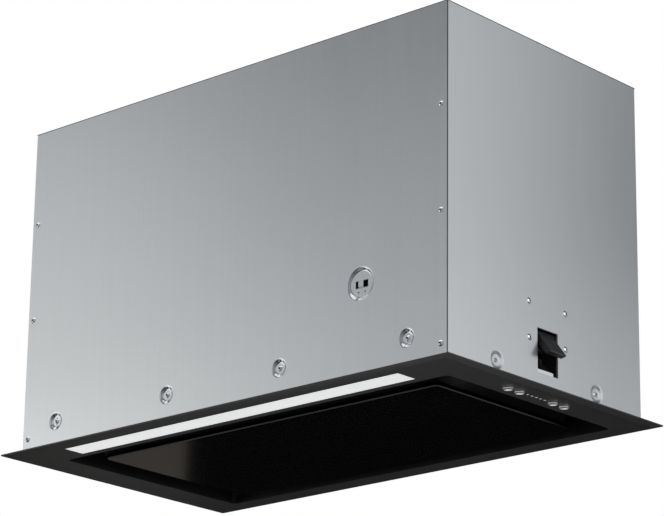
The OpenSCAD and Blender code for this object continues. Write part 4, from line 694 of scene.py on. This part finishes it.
# white room as the camera sees it, and a weaker fill: darker below the horizon,
# and stronger on the side from which the photograph was taken
room = {
    "seen": (1, 1, 1, 1),
    "fill": (0.9, 0.93, 1.0, 1),
    "strength": 0.06,
    "below": 0.006,
    "horizon": (-0.12, 0.1),
    "side": (0.7, -0.7, 0.1),
    "wide": (0.25, 0.85),
    "extra": 0.35,
}


def makeRoom():
    world = bpy.data.worlds.new("room")
    world.use_nodes = True
    bpy.context.scene.world = world
    sky = world.node_tree
    fill = sky.nodes["Background"]
    fill.inputs["Color"].default_value = room["fill"]
    seen = sky.nodes.new("ShaderNodeBackground")
    seen.inputs["Color"].default_value = room["seen"]
    coords = sky.nodes.new("ShaderNodeTexCoord").outputs["Generated"]
    split = sky.nodes.new("ShaderNodeSeparateXYZ")
    sky.links.new(coords, split.inputs["Vector"])
    strength = remap(sky, split.outputs["Z"], *room["horizon"], room["below"], room["strength"])
    facing = sky.nodes.new("ShaderNodeVectorMath")
    facing.operation = "DOT_PRODUCT"
    facing.inputs[1].default_value = room["side"]
    sky.links.new(coords, facing.inputs[0])
    extra = remap(sky, facing.outputs["Value"], *room["wide"], 0.0, room["extra"])
    sky.links.new(maths(sky, "ADD", strength, extra), fill.inputs["Strength"])
    pick = sky.nodes.new("ShaderNodeMixShader")
    sky.links.new(sky.nodes.new("ShaderNodeLightPath").outputs["Is Camera Ray"], pick.inputs["Fac"])
    sky.links.new(fill.outputs["Background"], pick.inputs[1])
    sky.links.new(seen.outputs["Background"], pick.inputs[2])
    sky.links.new(pick.outputs["Shader"], sky.nodes["World Output"].inputs["Surface"])


makeRoom()
bpy.context.scene.view_settings.view_transform = "Standard"

# pale floor well below the hood, seen from above only and a little brighter to the camera
floorSet = {
    "height": -1.0,
    "half": 1.5,
    "pale": (0.8, 0.8, 0.8, 1),
    "paler": (0.84, 0.84, 0.84, 1),
    "cloud": 3.0,
    "rough": 0.8,
    "lift": 0.5,
}


def makeFloorPaint():
    material = bpy.data.materials.new("floor")
    material.use_nodes = True
    tree = material.node_tree
    shader = tree.nodes["Principled BSDF"]
    coords = tree.nodes.new("ShaderNodeTexCoord").outputs["Object"]
    tint = tree.nodes.new("ShaderNodeMix")
    tint.data_type = "RGBA"
    tint.inputs[6].default_value = floorSet["pale"]
    tint.inputs[7].default_value = floorSet["paler"]
    tree.links.new(noise(tree, coords, floorSet["cloud"]), tint.inputs["Factor"])
    tree.links.new(tint.outputs[2], shader.inputs["Base Color"])
    shader.inputs["Roughness"].default_value = floorSet["rough"]
    shader.inputs["Emission Color"].default_value = (1, 1, 1, 1)
    looked = tree.nodes.new("ShaderNodeLightPath").outputs["Is Camera Ray"]
    tree.links.new(maths(tree, "MULTIPLY", looked, floorSet["lift"]), shader.inputs["Emission Strength"])
    clear = tree.nodes.new("ShaderNodeBsdfTransparent")
    mix = tree.nodes.new("ShaderNodeMixShader")
    tree.links.new(tree.nodes.new("ShaderNodeNewGeometry").outputs["Backfacing"], mix.inputs["Fac"])
    tree.links.new(shader.outputs["BSDF"], mix.inputs[1])
    tree.links.new(clear.outputs["BSDF"], mix.inputs[2])
    tree.links.new(mix.outputs["Shader"], tree.nodes["Material Output"].inputs["Surface"])
    return material


def makeFloor():
    shape = bmesh.new()
    bmesh.ops.create_grid(shape, x_segments=1, y_segments=1, size=floorSet["half"])
    bmesh.ops.translate(shape, verts=shape.verts, vec=(0, 0, floorSet["height"]))
    mesh = bpy.data.meshes.new("floor")
    shape.to_mesh(mesh)
    shape.free()
    mesh.materials.append(makeFloorPaint())
    floor = bpy.data.objects.new("floor", mesh)
    bpy.context.scene.collection.objects.link(floor)


makeFloor()
print("room lit")
